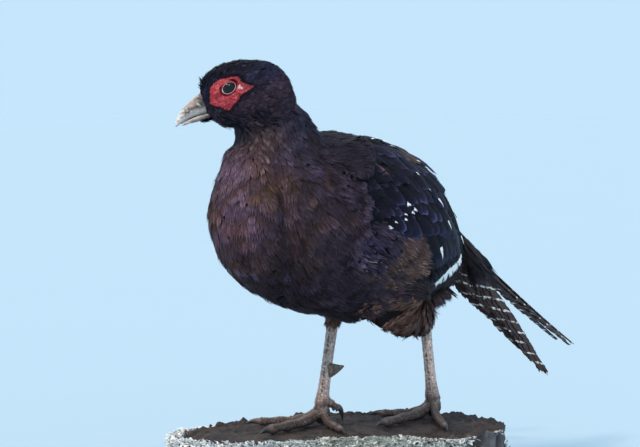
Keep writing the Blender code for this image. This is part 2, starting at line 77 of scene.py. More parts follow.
# Plumage tracts of the left side, in millimetres above the slab's top: place, the way the feathers lie,
# their length and half width, and the colours of their webs and of the down at their roots.
TRACTS = (
    ((0, -113, 244), (0, -0.15, -1), 9.0, 2.6, "#3b3037", "#2a2022"),  # throat
    ((28, -84, 243), (0.1, 0.35, -1), 10.0, 3.0, "#2b2938", "#201d28"),  # side of the neck
    ((0, -50, 262), (0, 0.75, -0.8), 10.0, 3.0, "#26273a", "#1b1a24"),  # nape
    ((0, -122, 205), (0, -0.05, -1), 13.0, 3.8, "#544352", "#3c2a28"),  # top of the breast
    ((0, -124, 172), (0, 0.1, -1), 15.0, 4.2, "#4b3a4c", "#39271f"),  # breast
    ((0, -108, 128), (0, 0.7, -1), 16.0, 4.4, "#2e2123", "#241b1c"),  # lower breast
    ((38, -103, 190), (0.1, 0.3, -1), 14.0, 4.2, "#3d3140", "#33251f"),
    ((50, -75, 185), (0.1, 0.55, -1), 15.0, 4.6, "#2f2733", "#2a2020"),
    ((36, -90, 135), (0, 0.8, -0.8), 16.0, 4.6, "#2d2127", "#281b18"),
    ((58, -45, 200), (0.1, 0.8, -0.75), 15.0, 5.0, "#27202b", "#1f181d"),  # shoulder
    ((60, -45, 150), (0, 0.85, -0.8), 17.0, 5.4, "#33272f", "#231a1e"),
    ((0, -20, 240), (0, 1, -0.15), 14.0, 5.0, "#1b1922", "#171315"),  # mantle
    ((35, -30, 229), (0.25, 1, -0.5), 14.0, 5.0, "#1d1a23", "#151216"),
    ((0, 40, 232), (0, 1, -0.3), 16.0, 5.4, "#1a1b27", "#131117"),  # back
    ((0, 95, 203), (0, 1, -0.75), 20.0, 5.6, "#1b1d2a", "#121016"),  # rump
    ((30, 95, 180), (0, 1, -0.85), 20.0, 5.4, "#191b26", "#121016"),
    ((0, -70, 106), (0, 1, -0.25), 17.0, 4.6, "#241a1c", "#1f1718"),  # belly
    ((0, 0, 92), (0, 1, 0), 18.0, 4.8, "#201618", "#1c1516"),
    ((0, 70, 92), (0, 1, 0.1), 18.0, 4.8, "#201719", "#1c1516"),
    ((0, 120, 108), (0, 1, 0.15), 20.0, 4.8, "#2a2122", "#1f1718"),  # vent
    ((58, 0, 120), (0, 1, -0.3), 19.0, 6.0, "#2b2430", "#231917"),  # flank
    ((50, 60, 118), (0, 1, -0.35), 18.0, 5.4, "#2a2225", "#231917"),
    ((0, 150, 160), (0, 1, -0.73), 30.0, 5.6, "#1c1b26", "#141216"),  # tail coverts
    ((25, 150, 140), (0, 1, -0.75), 30.0, 5.2, "#1c1b24", "#141216"),
)
# Faded and worn patches: place, reach in millimetres, colour, strength
PATCHES = (((10, -122, 164), 13, "#4a3128", 0.75), ((24, -112, 143), 10, "#523a2e", 0.6), ((38, -99, 200), 9, "#6a5240",
    0.55), ((44, -84, 165), 16, "#33231c", 0.55), ((-14, -120, 150), 12, "#45302a", 0.55), ((-34, -100, 178), 12,
    "#4a352c", 0.45), ((30, -60, 232), 12, "#3c2a24", 0.25), ((19, -25, 238), 12, "#3a2d29", 0.2), ((28, 24, 233), 16,
    "#54453f", 0.55), ((44, 37, 215), 11, "#50392f", 0.5), ((16, -94, 237), 13, "#54392a", 0.75), ((20, -104, 214), 10,
    "#4a3124", 0.6), ((40, -92, 205), 12, "#33241f", 0.7), ((52, -62, 178), 14, "#37272a", 0.5), ((26, -104, 176), 8,
    "#3a2720", 0.7), ((46, 12, 116), 16, "#38261f", 0.5), ((46, -34, 220), 20, "#17141a", 0.8), ((30, -8, 236), 18,
    "#17151c", 0.7), ((24, 148, 138), 20, "#3a2823", 0.6),)


def linear(colour):
    """An sRGB hex colour as the linear RGBA that shaders take."""
    parts = [int(colour[k:k + 2], 16) / 255 for k in (1, 3, 5)]
    return tuple(c / 12.92 if c <= 0.04045 else ((c + 0.055) / 1.055) ** 2.4 for c in parts) + (1.0,)


def rgb(colour):
    return np.array(linear(colour)[:3])


def mixed(a, b, share):
    """Blend of two arrays of colours or places by a share for each row."""
    share = np.asarray(share)[..., None]
    return a * (1 - share) + b * share


def unit(rows):
    return rows / np.maximum(np.linalg.norm(rows, axis=-1, keepdims=True), 1e-12)


def step_up(low, high, value):
    """0 below low, 1 above high, smooth between."""
    share = np.clip((value - low) / (high - low), 0, 1)
    return share * share * (3 - 2 * share)


def over_slab(points):
    """Places in millimetres, their heights from the slab's top."""
    return points / MM - (0, 0, SLAB_TOP / MM)


def close_to(points, at, reach, stretch=1):
    """1 at a place, less further away; stretch widens it along the axes."""
    return np.exp(-(np.linalg.norm((points - at) / stretch, axis=1) / reach) ** 2)


def circle(count):
    return np.linspace(0, math.tau, count, endpoint=False)


def along_edge(edge, value, by=1):
    """Where an edge of (y, height) rows runs at the given heights, or with by=0 at the given y."""
    rows = np.array(sorted(edge, key=lambda row: row[by]), dtype=float)
    return np.interp(value, rows[:, by], rows[:, 1 - by])


def wander(points, size, seed=0.0):
    """Soft noise, about -1 to 1, with features of the given size in metres."""
    shift = Vector((seed * 7.3, seed * 3.1, seed * 5.7))
    return np.array([noise.noise(Vector(p) / size + shift) for p in points]) * 1.6


def in_head(points):
    """Places as distance left, behind and up in the head's own frame."""
    turn = np.array(HEAD_FRAME.inverted())
    return np.asarray(points) @ turn[:3, :3].T + turn[:3, 3]


def from_head(points):
    turn = np.array(HEAD_FRAME)
    return np.asarray(points) @ turn[:3, :3].T + turn[:3, 3]


def on_head(points, blend=0.006):
    """1 on the head, 0 below the line where it meets the neck."""
    return step_up(-blend, blend, (np.asarray(points) - HEAD_CUT_AT) @ HEAD_CUT_UP)


def wire(tree, node, links):
    """Sets a node's inputs, each to a plain value, a socket, or another node's first live output."""
    for key, value in links.items():
        if isinstance(value, bpy.types.Node):
            value = next(socket for socket in value.outputs if socket.enabled)
        if isinstance(value, bpy.types.NodeSocket):
            tree.links.new(value, node.inputs[key])
        else:
            node.inputs[key].default_value = value
    return node


def add(tree, kind, links=(), **settings):
    """Adds one node; kind leaves out the ShaderNode that all kinds start with."""
    node = tree.nodes.new("ShaderNode" + kind)
    for key, value in settings.items():
        setattr(node, key, value)
    return wire(tree, node, dict(links))


def surface(tree, shader, colour, height, strength, depth):
    """Gives the shader its colour and a fine relief."""
    relief = add(tree, "Bump", {"Height": height, "Strength": strength, "Distance": depth})
    wire(tree, shader, {"Base Color": colour, "Normal": relief})


def finish_of(name, **values):
    """A new material with a Principled shader whose plain numbers are set on its own sockets."""
    made = bpy.data.materials.new(name)
    made.use_nodes = True
    shader = made.node_tree.nodes["Principled BSDF"]
    for key, value in values.items():
        shader.inputs[key.replace("_", " ")].default_value = value
    return made, made.node_tree, shader


def solid_of(name, points, faces, material, uvs=None, colours=None):
    """A mesh object from arrays. faces is one array, or several, of corners; uvs are given for each point."""
    groups = [np.asarray(f) for f in (faces if isinstance(faces, (list, tuple)) else (faces,)) if len(f)]
    corners = np.concatenate([g.ravel() for g in groups])
    sizes = np.concatenate([np.full(len(g), g.shape[1]) for g in groups])
    data = bpy.data.meshes.new(name)
    data.vertices.add(len(points))
    data.vertices.foreach_set("co", np.asarray(points, dtype=np.float32).ravel())
    data.loops.add(len(corners))
    data.loops.foreach_set("vertex_index", corners.astype(np.int32))
    data.polygons.add(len(sizes))
    data.polygons.foreach_set("loop_start", np.concatenate(([0], np.cumsum(sizes)[:-1])).astype(np.int32))
    data.update(calc_edges=True)
    data.polygons.foreach_set("use_smooth", np.full(len(sizes), True))
    for key, rows in (uvs or {}).items():
        layer = data.uv_layers.new(name=key)
        layer.uv.foreach_set("vector", np.asarray(rows, dtype=np.float32)[corners].ravel())
    for key, rows in (colours or {}).items():
        rows = np.pad(rows, ((0, 0), (0, 4 - rows.shape[1])), constant_values=1)
        layer = data.color_attributes.new(key, "FLOAT_COLOR", "POINT")
        layer.data.foreach_set("color", np.asarray(rows, dtype=np.float32).ravel())
    data.validate()
    made = bpy.data.objects.new(name, data)
    data.materials.append(material)
    bpy.context.scene.collection.objects.link(made)
    return made


def grid_faces(rows, columns, closed=False, start=0):
    """Quads of a grid of points in rows; closed joins each row's end to its start."""
    span = columns if closed else columns - 1
    i, j = np.meshgrid(np.arange(rows - 1), np.arange(span), indexing="ij")
    i, j = i.ravel(), j.ravel()
    k = (j + 1) % columns
    return np.stack((i * columns + j, i * columns + k, (i + 1) * columns + k, (i + 1) * columns + j), 1) + start


def smooth_rows(rows, count):
    """A table's rows resampled to count rows along a Catmull-Rom curve through them."""
    flat = np.array([[n for item in row for n in (item if isinstance(item, tuple) else (item,))] for row in rows])
    spans = len(flat) - 1
    made = []
    for k in range(count):
        at = k * spans / (count - 1)
        i = min(int(at), spans - 1)
        t = at - i
        a, b, c, d = (flat[min(max(j, 0), spans)] for j in (i - 1, i, i + 1, i + 2))
        made.append(0.5 * (2 * b + (c - a) * t + (2 * a - 5 * b + 4 * c - d) * t * t + (3 * b - a - 3 * c + d)
            * t ** 3))
    return np.array(made)


def given(piece, slot, *nodes):
    """Puts a piece on the one body and hides the model's nodes that it stands for; the finish slot is not used."""
    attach(piece, "root")
    if nodes:
        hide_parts(*nodes)


# ---------------------------------------------------------------- skin


class Skin:
    """The one skin under the coat: its arrays, and a tree that finds the nearest place on it."""

    def __init__(self, points, faces):
        self.points, self.faces = points, faces
        triangles = np.concatenate((faces[:, :3], faces[:, (0, 2, 3)]))
        self.triangles = triangles
        corner = points[triangles]
        cross = np.cross(corner[:, 1] - corner[:, 0], corner[:, 2] - corner[:, 0])
        self.areas = np.linalg.norm(cross, axis=1) / 2
        normals = np.zeros_like(points)
        for k in range(3):
            np.add.at(normals, triangles[:, k], cross)
        self.normals = unit(normals)
        self.tree = BVHTree.FromPolygons([tuple(p) for p in points], [tuple(t) for t in triangles.tolist()])

    def nearest(self, points):
        """The nearest places on the skin and the smooth normals there."""
        places, normals = np.empty_like(points), np.empty_like(points)
        for k, point in enumerate(points):
            place, _, face, _ = self.tree.find_nearest(Vector(point))
            corners = self.triangles[face]
            away = np.linalg.norm(self.points[corners] - np.array(place), axis=1)
            weight = 1 / (away + 1e-5)
            places[k] = place
            normals[k] = (self.normals[corners] * weight[:, None]).sum(0)
        return places, unit(normals)

    def from_side(self, side, y, height):
        """The place that a level line from one side meets, or the nearest one to it."""
        start = Vector((side * 0.13, y * MM, SLAB_TOP + height * MM))
        place, _, _, _ = self.tree.ray_cast(start, Vector((-side, 0, 0)))
        if place is None or place.x * side < 0:
            place, _, _, _ = self.tree.find_nearest(Vector((side * 0.03, start.y, start.z)))
        return np.array(place)


def coat_depth(points):
    """How far the skin lies inside the outer form: the depth of the coat there."""
    local = in_head(points)
    head = on_head(points)
    depth = BODY_COAT * (1 - head) + HEAD_COAT * head
    to_bill = np.linalg.norm(local - BILL_BASE, axis=1)
    depth = np.where(head > 0.5, depth * (0.35 + 0.65 * step_up(0.006, 0.016, to_bill)), depth)
    low = step_up(SLAB_TOP + 0.112, SLAB_TOP + 0.095, points[:, 2]) * (points[:, 0] > 0.008) * (points[:, 0] < 0.06)
    front = step_up(0.052, 0.028, points[:, 1]) * step_up(0.004, 0.014, points[:, 1])
    return depth + low * MM * (2.2 * step_up(0.01, 0.02, points[:, 1]) + 6.5 * front - 4.0 * step_up(0.055, 0.066,
        points[:, 1]))


# The edge of the side plumage that overhangs the folded wing, and of the shoulder plumage: y and height
SIDE_EDGE = ((-45, 140), (-37, 147), (-38, 156), (-31, 163), (-35, 174), (-30, 187), (-35, 197), (-27, 206), (-20, 213),
    (-9, 224), (0, 236))
SHOULDER_EDGE = ((6, 244), (-3, 235), (-9, 226), (-17, 215), (-28, 207), (-41, 206), (-52, 214), (-62, 228))
# Grooves between the stuffed lobes: x, y, height, all in millimetres, then depth and reach
GROOVES = ((((28, -98, 226), (34, -98, 212), (42, -99, 190), (43, -98, 168), (40, -94, 147), (28, -83, 122),
    (17, -80, 112)), 6.0, 7.5), (((64, -62, 208), (58, -80, 196), (46, -95, 186)), 1.6, 6.0),
    (((28, -83, 122), (45, -66, 122), (58, -40, 126)), 2.6, 8.0), (((8, -112, 150), (30, -104, 152)), 1.0, 6.0),
    (((24, -94, 126), (16, -78, 112), (8, -72, 108)), 7.0, 6.0),)
FULLNESS = (((-12, -108, 230), 16, 4.5), ((10, -108, 226), 14, 2.0), ((-14, -114, 208), 16, 1.5), ((14, -58, 252), 13,
    4.0), ((-6, -56, 254), 12, 2.5), ((-15, -104, 226), 11, 6.5), ((1, -113, 225), 10, 4.5), ((-10, -105, 244), 9,
    -11.0), ((8, 6, 92), 18, 5.0), ((2, -60, 266), 10, 3.5))
HEAD_FULLNESS = (((0, -17, 21), 10, 1.3), ((0, 17, 19), 10, -1.3), ((0, -17, -22), 8, 2.0))


def from_line(place, line):
    """Distance of places from a line through points."""
    away = np.full(len(place), 1e9)
    for a, b in zip(line, line[1:]):
        run = np.clip(((place - a) @ (b - a)) / ((b - a) @ (b - a)), 0, 1)
        away = np.minimum(away, np.linalg.norm(place - (a + run[:, None] * (b - a)), axis=1))
    return away


def in_groove(points):
    """How deep places lie in the grooves between the lobes, in millimetres."""
    place = over_slab(points)
    deep = np.zeros(len(points))
    for side, strength in ((LEFT, 1.0), (RIGHT, 0.6)):
        for line, depth, reach in GROOVES:
            away = from_line(place, np.array(line, dtype=float) * (side, 1, 1))
            deep = np.maximum(deep, strength * depth * np.exp(-(away / reach) ** 2))
    return deep


def folds(points):
    """The soft lobes and grooves that stuffing gives the plumage, as a height over the even form."""
    place = over_slab(points)
    x, y, height = np.abs(place[:, 0]), place[:, 1], place[:, 2]
    raised = -in_groove(points)
    for at, reach, rise in FULLNESS:
        raised += rise * close_to(place, at, reach)
    side_on = step_up(22, 34, x) * step_up(124, 142, height)
    edge = along_edge(SIDE_EDGE, height)
    ahead = edge - y
    lobe = step_up(-1, 4, ahead) * np.exp(-np.clip(ahead, 0, None) / 22)
    raised += (2.6 * lobe - 1.8 * step_up(-14, -2, ahead) * step_up(3, -1, ahead)) * side_on
    sill = along_edge(SHOULDER_EDGE, y, by=0)
    over = height - sill
    lobe = step_up(-1, 4, over) * np.exp(-np.clip(over, 0, None) / 18) * step_up(16, 26, x) * step_up(-66, -52, y)
    raised += (2.4 * lobe - 1.2 * step_up(-12, -2, over) * step_up(3, -1, over) * step_up(16, 26, x)) * (y < 12)
    return raised * MM


def make_skin(settings):
    """All the flesh as one closed form, remeshed, eased and let in by the coat's depth."""
    form = bmesh.new()
    for name in FLESH + ("face_left", "face_right"):
        form.from_mesh(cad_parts[name].data)
    data = bpy.data.meshes.new("flesh_form")
    form.to_mesh(data)
    form.free()
    body = bpy.data.objects.new("flesh_form", data)
    bpy.context.scene.collection.objects.link(body)
    remesh = body.modifiers.new("one_form", "REMESH")
    remesh.mode, remesh.voxel_size = "VOXEL", settings.skin_grain
    graph = bpy.context.evaluated_depsgraph_get()
    data = bpy.data.meshes.new_from_object(body.evaluated_get(graph))
    bpy.data.objects.remove(body, do_unlink=True)
    form = bmesh.new()
    form.from_mesh(data)
    keep_largest(form)
    ends = list(form.verts)
    throat = [v for v in ends if v.co.y < -0.066 and 0.205 < v.co.z - SLAB_TOP < 0.244]
    for verts, times in ((ends, EASE_ALL), (throat, EASE_THROAT)):
        for _ in range(times):
            bmesh.ops.smooth_vert(form, verts=verts, factor=0.5, use_axis_x=True, use_axis_y=True, use_axis_z=True)
    form.normal_update()
    points = np.array([v.co for v in form.verts])
    normals = np.array([v.normal for v in form.verts])
    form.verts.index_update()
    faces = np.array([[v.index for v in f.verts] for f in form.faces])
    form.free()
    head, local = on_head(points), in_head(points) / MM
    full = sum(rise * MM * close_to(local, at, reach) for at, reach, rise in HEAD_FULLNESS)
    points = points - normals * (coat_depth(points) - folds(points) * (1 - head) - full * head)[:, None]
    return Skin(points, faces)


def keep_largest(form):
    """Drops the small closed pockets that remeshing leaves inside."""
    seen, groups = set(), []
    for start in form.verts:
        if start in seen:
            continue
        group, waiting = [], [start]
        seen.add(start)
        while waiting:
            vert = waiting.pop()
            group.append(vert)
            for edge in vert.link_edges:
                other = edge.other_vert(vert)
                if other not in seen:
                    seen.add(other)
                    waiting.append(other)
        groups.append(group)
    groups.sort(key=len)
    bmesh.ops.delete(form, geom=[v for g in groups[:-1] for v in g], context="VERTS")


# ---------------------------------------------------------------- plumage


def tract_shares(points):
    """How much each tract's values count at each place. The right side mirrors the left."""
    place = over_slab(points)
    place[:, 0] = np.abs(place[:, 0])
    keys = np.array([row[0] for row in TRACTS], dtype=float)
    apart = ((place[:, None, :] - keys[None]) ** 2).sum(2)
    weight = 1 / (apart + TRACT_BLEND) ** 2
    return weight / weight.sum(1, keepdims=True)


def sides_of(points):
    return np.where(points[:, 0] >= 0, 1.0, -1.0)


def lie_at(points):
    """The way the feathers lie: by tract on the body, and back from the bill on the head."""
    lies = unit(np.array([row[1] for row in TRACTS], dtype=float))
    way = tract_shares(points) @ lies
    way[:, 0] *= sides_of(points) * step_up(0.0, 0.01, np.abs(points[:, 0]))
    local = in_head(points)
    back = unit(local - BILL_BASE) + (0, 0.35, 0)
    back = unit(back) @ np.array(HEAD_FRAME)[:3, :3].T
    return mixed(unit(way), back, on_head(points, 0.014))


def tints_at(points):
    """Colours of the webs and of the down at their roots, with the worn patches."""
    shares = tract_shares(points)
    webs = shares @ np.array([linear(row[4])[:3] for row in TRACTS])
    downs = shares @ np.array([linear(row[5])[:3] for row in TRACTS])
    local = in_head(points)
    head = on_head(points, 0.01)
    sleek = rgb("#1e1f31")
    ear = rgb("#402f34")
    near_ear = np.exp(-(np.linalg.norm((np.abs(local[:, :1]) * (1, 0, 0) + local * (0, 1, 1) - (0.016, 0.014, -0.008)),
        axis=1) / 0.009) ** 2)
    # painted shade: the top of the head is darkened by its height, to cancel the light it catches from above
    crown = sleek * (1 - 0.78 * step_up(0.006, 0.02, local[:, 2]))[:, None]
    crown = mixed(crown, ear, np.maximum(near_ear * 0.8, 0.75 * step_up(0.006, -0.008, local[:, 2])))
    webs, downs = mixed(webs, crown, head), mixed(downs, crown * 0.75, head)
    place = over_slab(points)
    for at, reach, colour, strength in PATCHES:
        share = strength * close_to(place, at, reach)
        webs = mixed(webs, rgb(colour), share)
        downs = mixed(downs, rgb(colour), share * 0.6)
    return webs, downs


def sizes_at(points):
    """Feather length and half width in metres."""
    shares = tract_shares(points)
    length = shares @ np.array([row[2] for row in TRACTS]) * MM
    half = shares @ np.array([row[3] for row in TRACTS]) * MM
    head = on_head(points, 0.012)
    local = in_head(points)
    near = step_up(0.03, 0.006, np.linalg.norm(local - BILL_BASE, axis=1))
    head_length = (6.2 - 2.6 * near) * MM
    head_half = (1.35 - 0.45 * near) * MM
    return length * (1 - head) + head_length * head, half * (1 - head) + head_half * head


def outline_has(outline, ahead, up, grow=0.0):
    """Whether places lie inside a closed outline grown by a margin."""
    line = np.array(outline)
    middle = line.mean(0)
    line = middle + (line - middle) * (1 + grow / np.linalg.norm(line - middle, axis=1)[:, None])
    inside = np.zeros(len(ahead), dtype=bool)
    for (a, b), (c, d) in zip(line, np.roll(line, -1, axis=0)):
        crosses = (b > up) != (d > up)
        at = (c - a) * (up - b) / (d - b + 1e-12) + a
        inside ^= crosses & (ahead < at)
    return inside


def smooth_outline(count):
    """The face's outline, a little uneven."""
    rows = smooth_rows(FACE_OUTLINE + FACE_OUTLINE[:1], count + 1)[:-1]
    middle = rows.mean(0)
    turn = np.arctan2(*(rows - middle).T)
    uneven = 0.018 * np.sin(7 * turn + 1.0) + 0.014 * np.sin(13 * turn + 0.4) + 0.012 * np.sin(23 * turn)
    return middle + (rows - middle) * (1 + uneven)[:, None]


def bare_at(points):
    """The places without feathers on the head: face, eye and bill."""
    local = in_head(points)
    head = on_head(points) > 0.5
    face = outline_has(smooth_outline(40), -local[:, 1], local[:, 2], -0.0006) & (np.abs(local[:, 0]) > 0.008)
    bill = (-local[:, 1] > 0.0285) & (local[:, 2] < 0.01) & (local[:, 2] > -0.0112) & (np.abs(local[:, 0]) < 0.009)
    return head & (face | bill)


WING_FRONT = ((-46, 120), (-44, 150), (-44, 180), (-43, 200), (-32, 204), (-16, 213), (-6, 226), (2, 240))


def on_wing(points):
    """Whether places lie on the folded wing, whose feathers are laid in rows of their own."""
    place = over_slab(points)
    x, y, height = np.abs(place[:, 0]), place[:, 1], place[:, 2]
    front = along_edge(WING_FRONT, height)
    lower = np.interp(y, (-50, -20, 30, 70, 124), (146, 136, 122, 117, 128))
    ridge = np.interp(y, (-40, 0, 60, 100, 124), (226, 234, 222, 190, 150))
    return (y > front + 4) & (y < 122) & (height > lower) & (height < ridge) & (x > 17)


def scatter(skin, seed, wanted, spacing):
    """Roots spread evenly over part of the skin, closer where feathers are small."""
    rng = np.random.default_rng(seed)
    corners = skin.points[skin.triangles]
    middles = corners.mean(1)
    gap = spacing(middles)
    weight = skin.areas / gap ** 2 * wanted(middles)
    tries = int(weight.sum() * 7)
    picks = rng.choice(len(weight), tries, p=weight / weight.sum())
    a, b = rng.random((2, tries))
    flip = a + b > 1
    a, b = np.where(flip, 1 - a, a), np.where(flip, 1 - b, b)
    tri = corners[picks]
    points = tri[:, 0] + (tri[:, 1] - tri[:, 0]) * a[:, None] + (tri[:, 2] - tri[:, 0]) * b[:, None]
    keep = wanted(points)
    points, gaps = points[keep], spacing(points[keep])
    cell = gaps.max()
    places, kept = {}, []
    keys = np.floor(points / cell).astype(int)
    around = [(i, j, k) for i in (-1, 0, 1) for j in (-1, 0, 1) for k in (-1, 0, 1)]
    for n, (point, key) in enumerate(zip(points, keys)):
        free = True
        for i, j, k in around:
            for other in places.get((key[0] + i, key[1] + j, key[2] + k), ()):
                d = points[other] - point
                if d[0] * d[0] + d[1] * d[1] + d[2] * d[2] < (0.5 * (gaps[n] + gaps[other])) ** 2:
                    free = False
                    break
            if not free:
                break
        if free:
            places.setdefault(tuple(key), []).append(n)
            kept.append(n)
    return points[kept]


def combed(skin, roots, lengths, swing, way=None, loose=None):
    """Centre lines that start at the roots and follow the skin along the lie, turned by swing.

    way overrides the lie; loose says how far each leaves the skin for a straight run.
    """
    place, normal = skin.nearest(roots)
    places, normals = [place], [normal]
    free = np.zeros(len(roots)) if loose is None else loose
    last = None
    for _ in range(COMB_STEPS):
        heading = lie_at(place) if way is None else way
        heading = unit(heading - normal * (heading * normal).sum(1, keepdims=True))
        across = np.cross(normal, heading)
        heading = heading * np.cos(swing)[:, None] + across * np.sin(swing)[:, None]
        if last is not None:
            heading = mixed(heading, last, free)
        last = heading
        ahead = place + heading * (lengths / COMB_STEPS)[:, None]
        on_skin, normal = skin.nearest(ahead)
        place = mixed(on_skin, ahead, free)
        normal = unit(mixed(normal, normals[-1], free) + normals[-1])
        places.append(place)
        normals.append(normal)
    return np.stack(places, 1), np.stack(normals, 1)


def vane(columns, rows, tip, narrow, hairs, seed, root=0.3, split=0):
    """One feather laid flat.

    Gives across (-1 to 1 of its half width), along (0 to 1), crown, edge, tone and faces.
    """
    rng = np.random.default_rng(seed)
    u, t = np.meshgrid(np.sin(np.linspace(-1, 1, columns + 1) * np.pi / 2), np.linspace(0, 1, rows + 1) ** 0.8)
    width = (root + (1 - root) * np.sin(np.clip(t / 0.5, 0, 1) * np.pi / 2)) * (1 - narrow * step_up(0.55, 1.0, t))
    along = t - tip * u * u * t * t
    along[-1] += rng.normal(0, 0.018, columns + 1)
    across = u * width
    across[1:, (0, -1)] *= 1 + rng.normal(0, 0.05, (rows, 2))
    for _ in range(split):
        column, depth = rng.integers(1, columns), rng.integers(1, 3)
        along[-1, column] -= 0.09 * depth
    edge = np.maximum(np.abs(u) ** 10, t ** 14) * step_up(0.35, 0.6, t)
    crown = 1 - u * u
    points = [across.ravel(), along.ravel(), crown.ravel(), edge.ravel()]
    quads = grid_faces(rows + 1, columns + 1)
    faces = np.concatenate((quads[:, (0, 1, 2)], quads[:, (0, 2, 3)]))
    extra, count = [], (rows + 1) * (columns + 1)
    more = []
    for k in range(hairs):
        share = (k + rng.random() * 0.8) / max(hairs, 1) * 2 - 1
        side = min(abs(share) / 0.62, 1.0)
        if abs(share) < 0.62:
            at_u, at_t = share / 0.62, 1.0
        else:
            at_u, at_t = math.copysign(1.0, share), 1.0 - (abs(share) - 0.62) / 0.38 * 0.5
        half = np.interp(at_t, t[:, 0], width[:, -1])
        x = at_u * half * 0.96
        y = at_t - tip * at_u ** 2 * at_t ** 2 - 0.02
        reach = 0.1 + 0.16 * rng.random()
        out = at_u * (0.2 + 0.25 * side) * rng.random()
        base = 0.07 + 0.05 * rng.random()
        for dx, dy, c in ((-base, -0.01, 0.2), (base, -0.01, 0.2), (out, reach, 0.0)):
            extra.append((x + dx, y + dy, c * (1 - at_u ** 2), 1.0))
        more.append((count, count + 1, count + 2))
        count += 3
    if extra:
        extra = np.array(extra).T
        points = [np.concatenate((a, b)) for a, b in zip(points, extra)]
        faces = np.concatenate((faces, np.array(more)))
    return (*points, np.ones(len(points[0])), faces)


def plume(barbs, seed, web=0.42, fray=0.3, contrast=0.2):
    """One loose feather laid flat: a short web that parts into separate soft barbs. Gives what vane gives."""
    rng = np.random.default_rng(seed)
    points, faces = [], []
    for t, half in ((0.0, 0.35), (web * 0.6, 0.85), (web + 0.14, 0.85)):
        points += [(u * half, t, 1 - 0.8 * abs(u), 0.0, 1.0) for u in (-1, 0, 1)]
    faces += [face for a in (0, 1, 3, 4) for face in ((a, a + 1, a + 4), (a, a + 4, a + 3))]
    for k in range(barbs):
        u = (k + 0.5 + rng.uniform(-0.3, 0.3)) / barbs * 2 - 1
        end = 1 - 0.2 * u * u + rng.uniform(-0.18, 0.1)
        out = u * (1.0 + fray * rng.random()) + rng.normal(0, 0.06)
        wide, base = 1.3 / barbs, len(points)
        start = web - 0.1 * rng.random()
        middle, lift = start + (end - start) * 0.6, rng.uniform(0.1, 1.0)
        tone = math.exp(rng.normal(0, contrast))
        for x, t, w in ((u * 0.88, start, wide), (u * 0.35 + out * 0.62, middle, wide * 0.85)):
            points += [(x - w, t, 0.5 + 0.4 * lift, 0.35, tone), (x + w, t, 0.5 + 0.4 * lift, 0.35, tone)]
        points.append((out, end, lift, 1.0, tone * 1.1))
        faces += [(base, base + 1, base + 3), (base, base + 3, base + 2), (base + 2, base + 3, base + 4)]
    return (*np.array(points).T, np.array(faces))


def lay_coat(name, shapes, lines, normals, halves, lifts, webs, downs, marks, bake, seed, material):
    """Lays feathers along their centre lines and joins them in one mesh object.

    lifts holds each feather's height over the skin at root and tip; marks its spot, white tip, rim and pale shaft
    strengths.
    """
    rng = np.random.default_rng(seed)
    marks = np.pad(marks, ((0, 0), (0, 4 - marks.shape[1])))
    count, steps = len(lines), lines.shape[1] - 1
    tangents = unit(np.gradient(lines, axis=1))
    sides = unit(np.cross(tangents, normals))
    lengths = np.linalg.norm(np.diff(lines, axis=1), axis=2).sum(1)
    choice = rng.integers(0, len(shapes), count)
    chance = rng.random(count)
    all_points, all_faces, vanes, tints, notes, bakes = [], [], [], [], [], []
    start = 0
    for number, (across, along, crown, edge, tone, faces) in enumerate(shapes):
        chosen = np.nonzero(choice == number)[0]
        if not len(chosen):
            continue
        at = np.clip(along * steps, 0, None)
        low = np.clip(at.astype(int), 0, steps - 1)
        part = (at - low)[None, :, None]
        pick = lambda rows: rows[chosen][:, low] * (1 - part) + rows[chosen][:, low + 1] * part
        normal, side = unit(pick(normals)), unit(pick(sides))
        half, lift = halves[chosen][:, None], lifts[chosen]
        rise = lift[:, :1] + (lift[:, 1:2] - lift[:, :1]) * np.clip(along, 0, 1.2)[None] ** 0.8
        height = rise + crown[None] * half * 0.22
        point = pick(lines) + side * (across[None] * half)[..., None] + normal * height[..., None]
        share = np.clip((along - 0.25) / 0.45, 0, 1)
        share = np.broadcast_to(share * share * (3 - 2 * share), point.shape[:2])
        web, down = webs[chosen][:, None, :], downs[chosen][:, None, :]
        tint = (down * (1 - share[..., None]) + web * share[..., None]) * tone[None, :, None]
        mark = marks[chosen]
        alpha = np.broadcast_to(mark[:, 3:4], point.shape[:2])[..., None]
        note = np.stack((edge[None] * mark[:, 2:3], np.broadcast_to(mark[:, :1], point.shape[:2]),
            np.broadcast_to(mark[:, 1:2], point.shape[:2]), np.broadcast_to(chance[chosen][:, None], point.shape[:2])),
            2)
        from_tip = (1 - along)[None] * lengths[chosen][:, None]
        flat = np.stack((across[None] * half * 100, from_tip * 100), 2)
        patch = np.stack((across * 0.5, along - 0.5), 1)[None] * 0.003
        all_points.append(point.reshape(-1, 3))
        base = start + np.arange(len(chosen))[:, None, None] * len(across)
        all_faces.append((faces[None] + base).reshape(-1, 3))
        vanes.append(flat.reshape(-1, 2))
        tints.append(np.concatenate((tint, alpha), 2).reshape(-1, 4))
        notes.append(note.reshape(-1, 4))
        bakes.append((bake[chosen][:, None, :] + patch).reshape(-1, 2))
        start += len(chosen) * len(across)
    return solid_of(name, np.concatenate(all_points), np.concatenate(all_faces), material,
        {"OFBake": np.concatenate(bakes), "Vane": np.concatenate(vanes)}, {"Tint": np.concatenate(tints),
        "Marks": np.concatenate(notes)})


def unwrap(points, middle, spans):
    """A round unwrap of the skin's own egg-shaped form about a middle, its pole ahead."""
    way = unit((points - middle) / spans)
    turn = np.arctan2(way[:, 0], way[:, 2]) / math.tau + 0.5
    return np.stack((turn * 0.98 + 0.01, np.arccos(np.clip(-way[:, 1], -1, 1)) / math.pi * 0.98 + 0.01), 1)


def body_unwrap(points):
    return unwrap(points, np.array((0, 0.005, SLAB_TOP + 0.165)), np.array((0.06, 0.13, 0.075)))


def head_unwrap(points):
    return unwrap(in_head(points), np.zeros(3), np.array((0.019, 0.034, 0.027)))


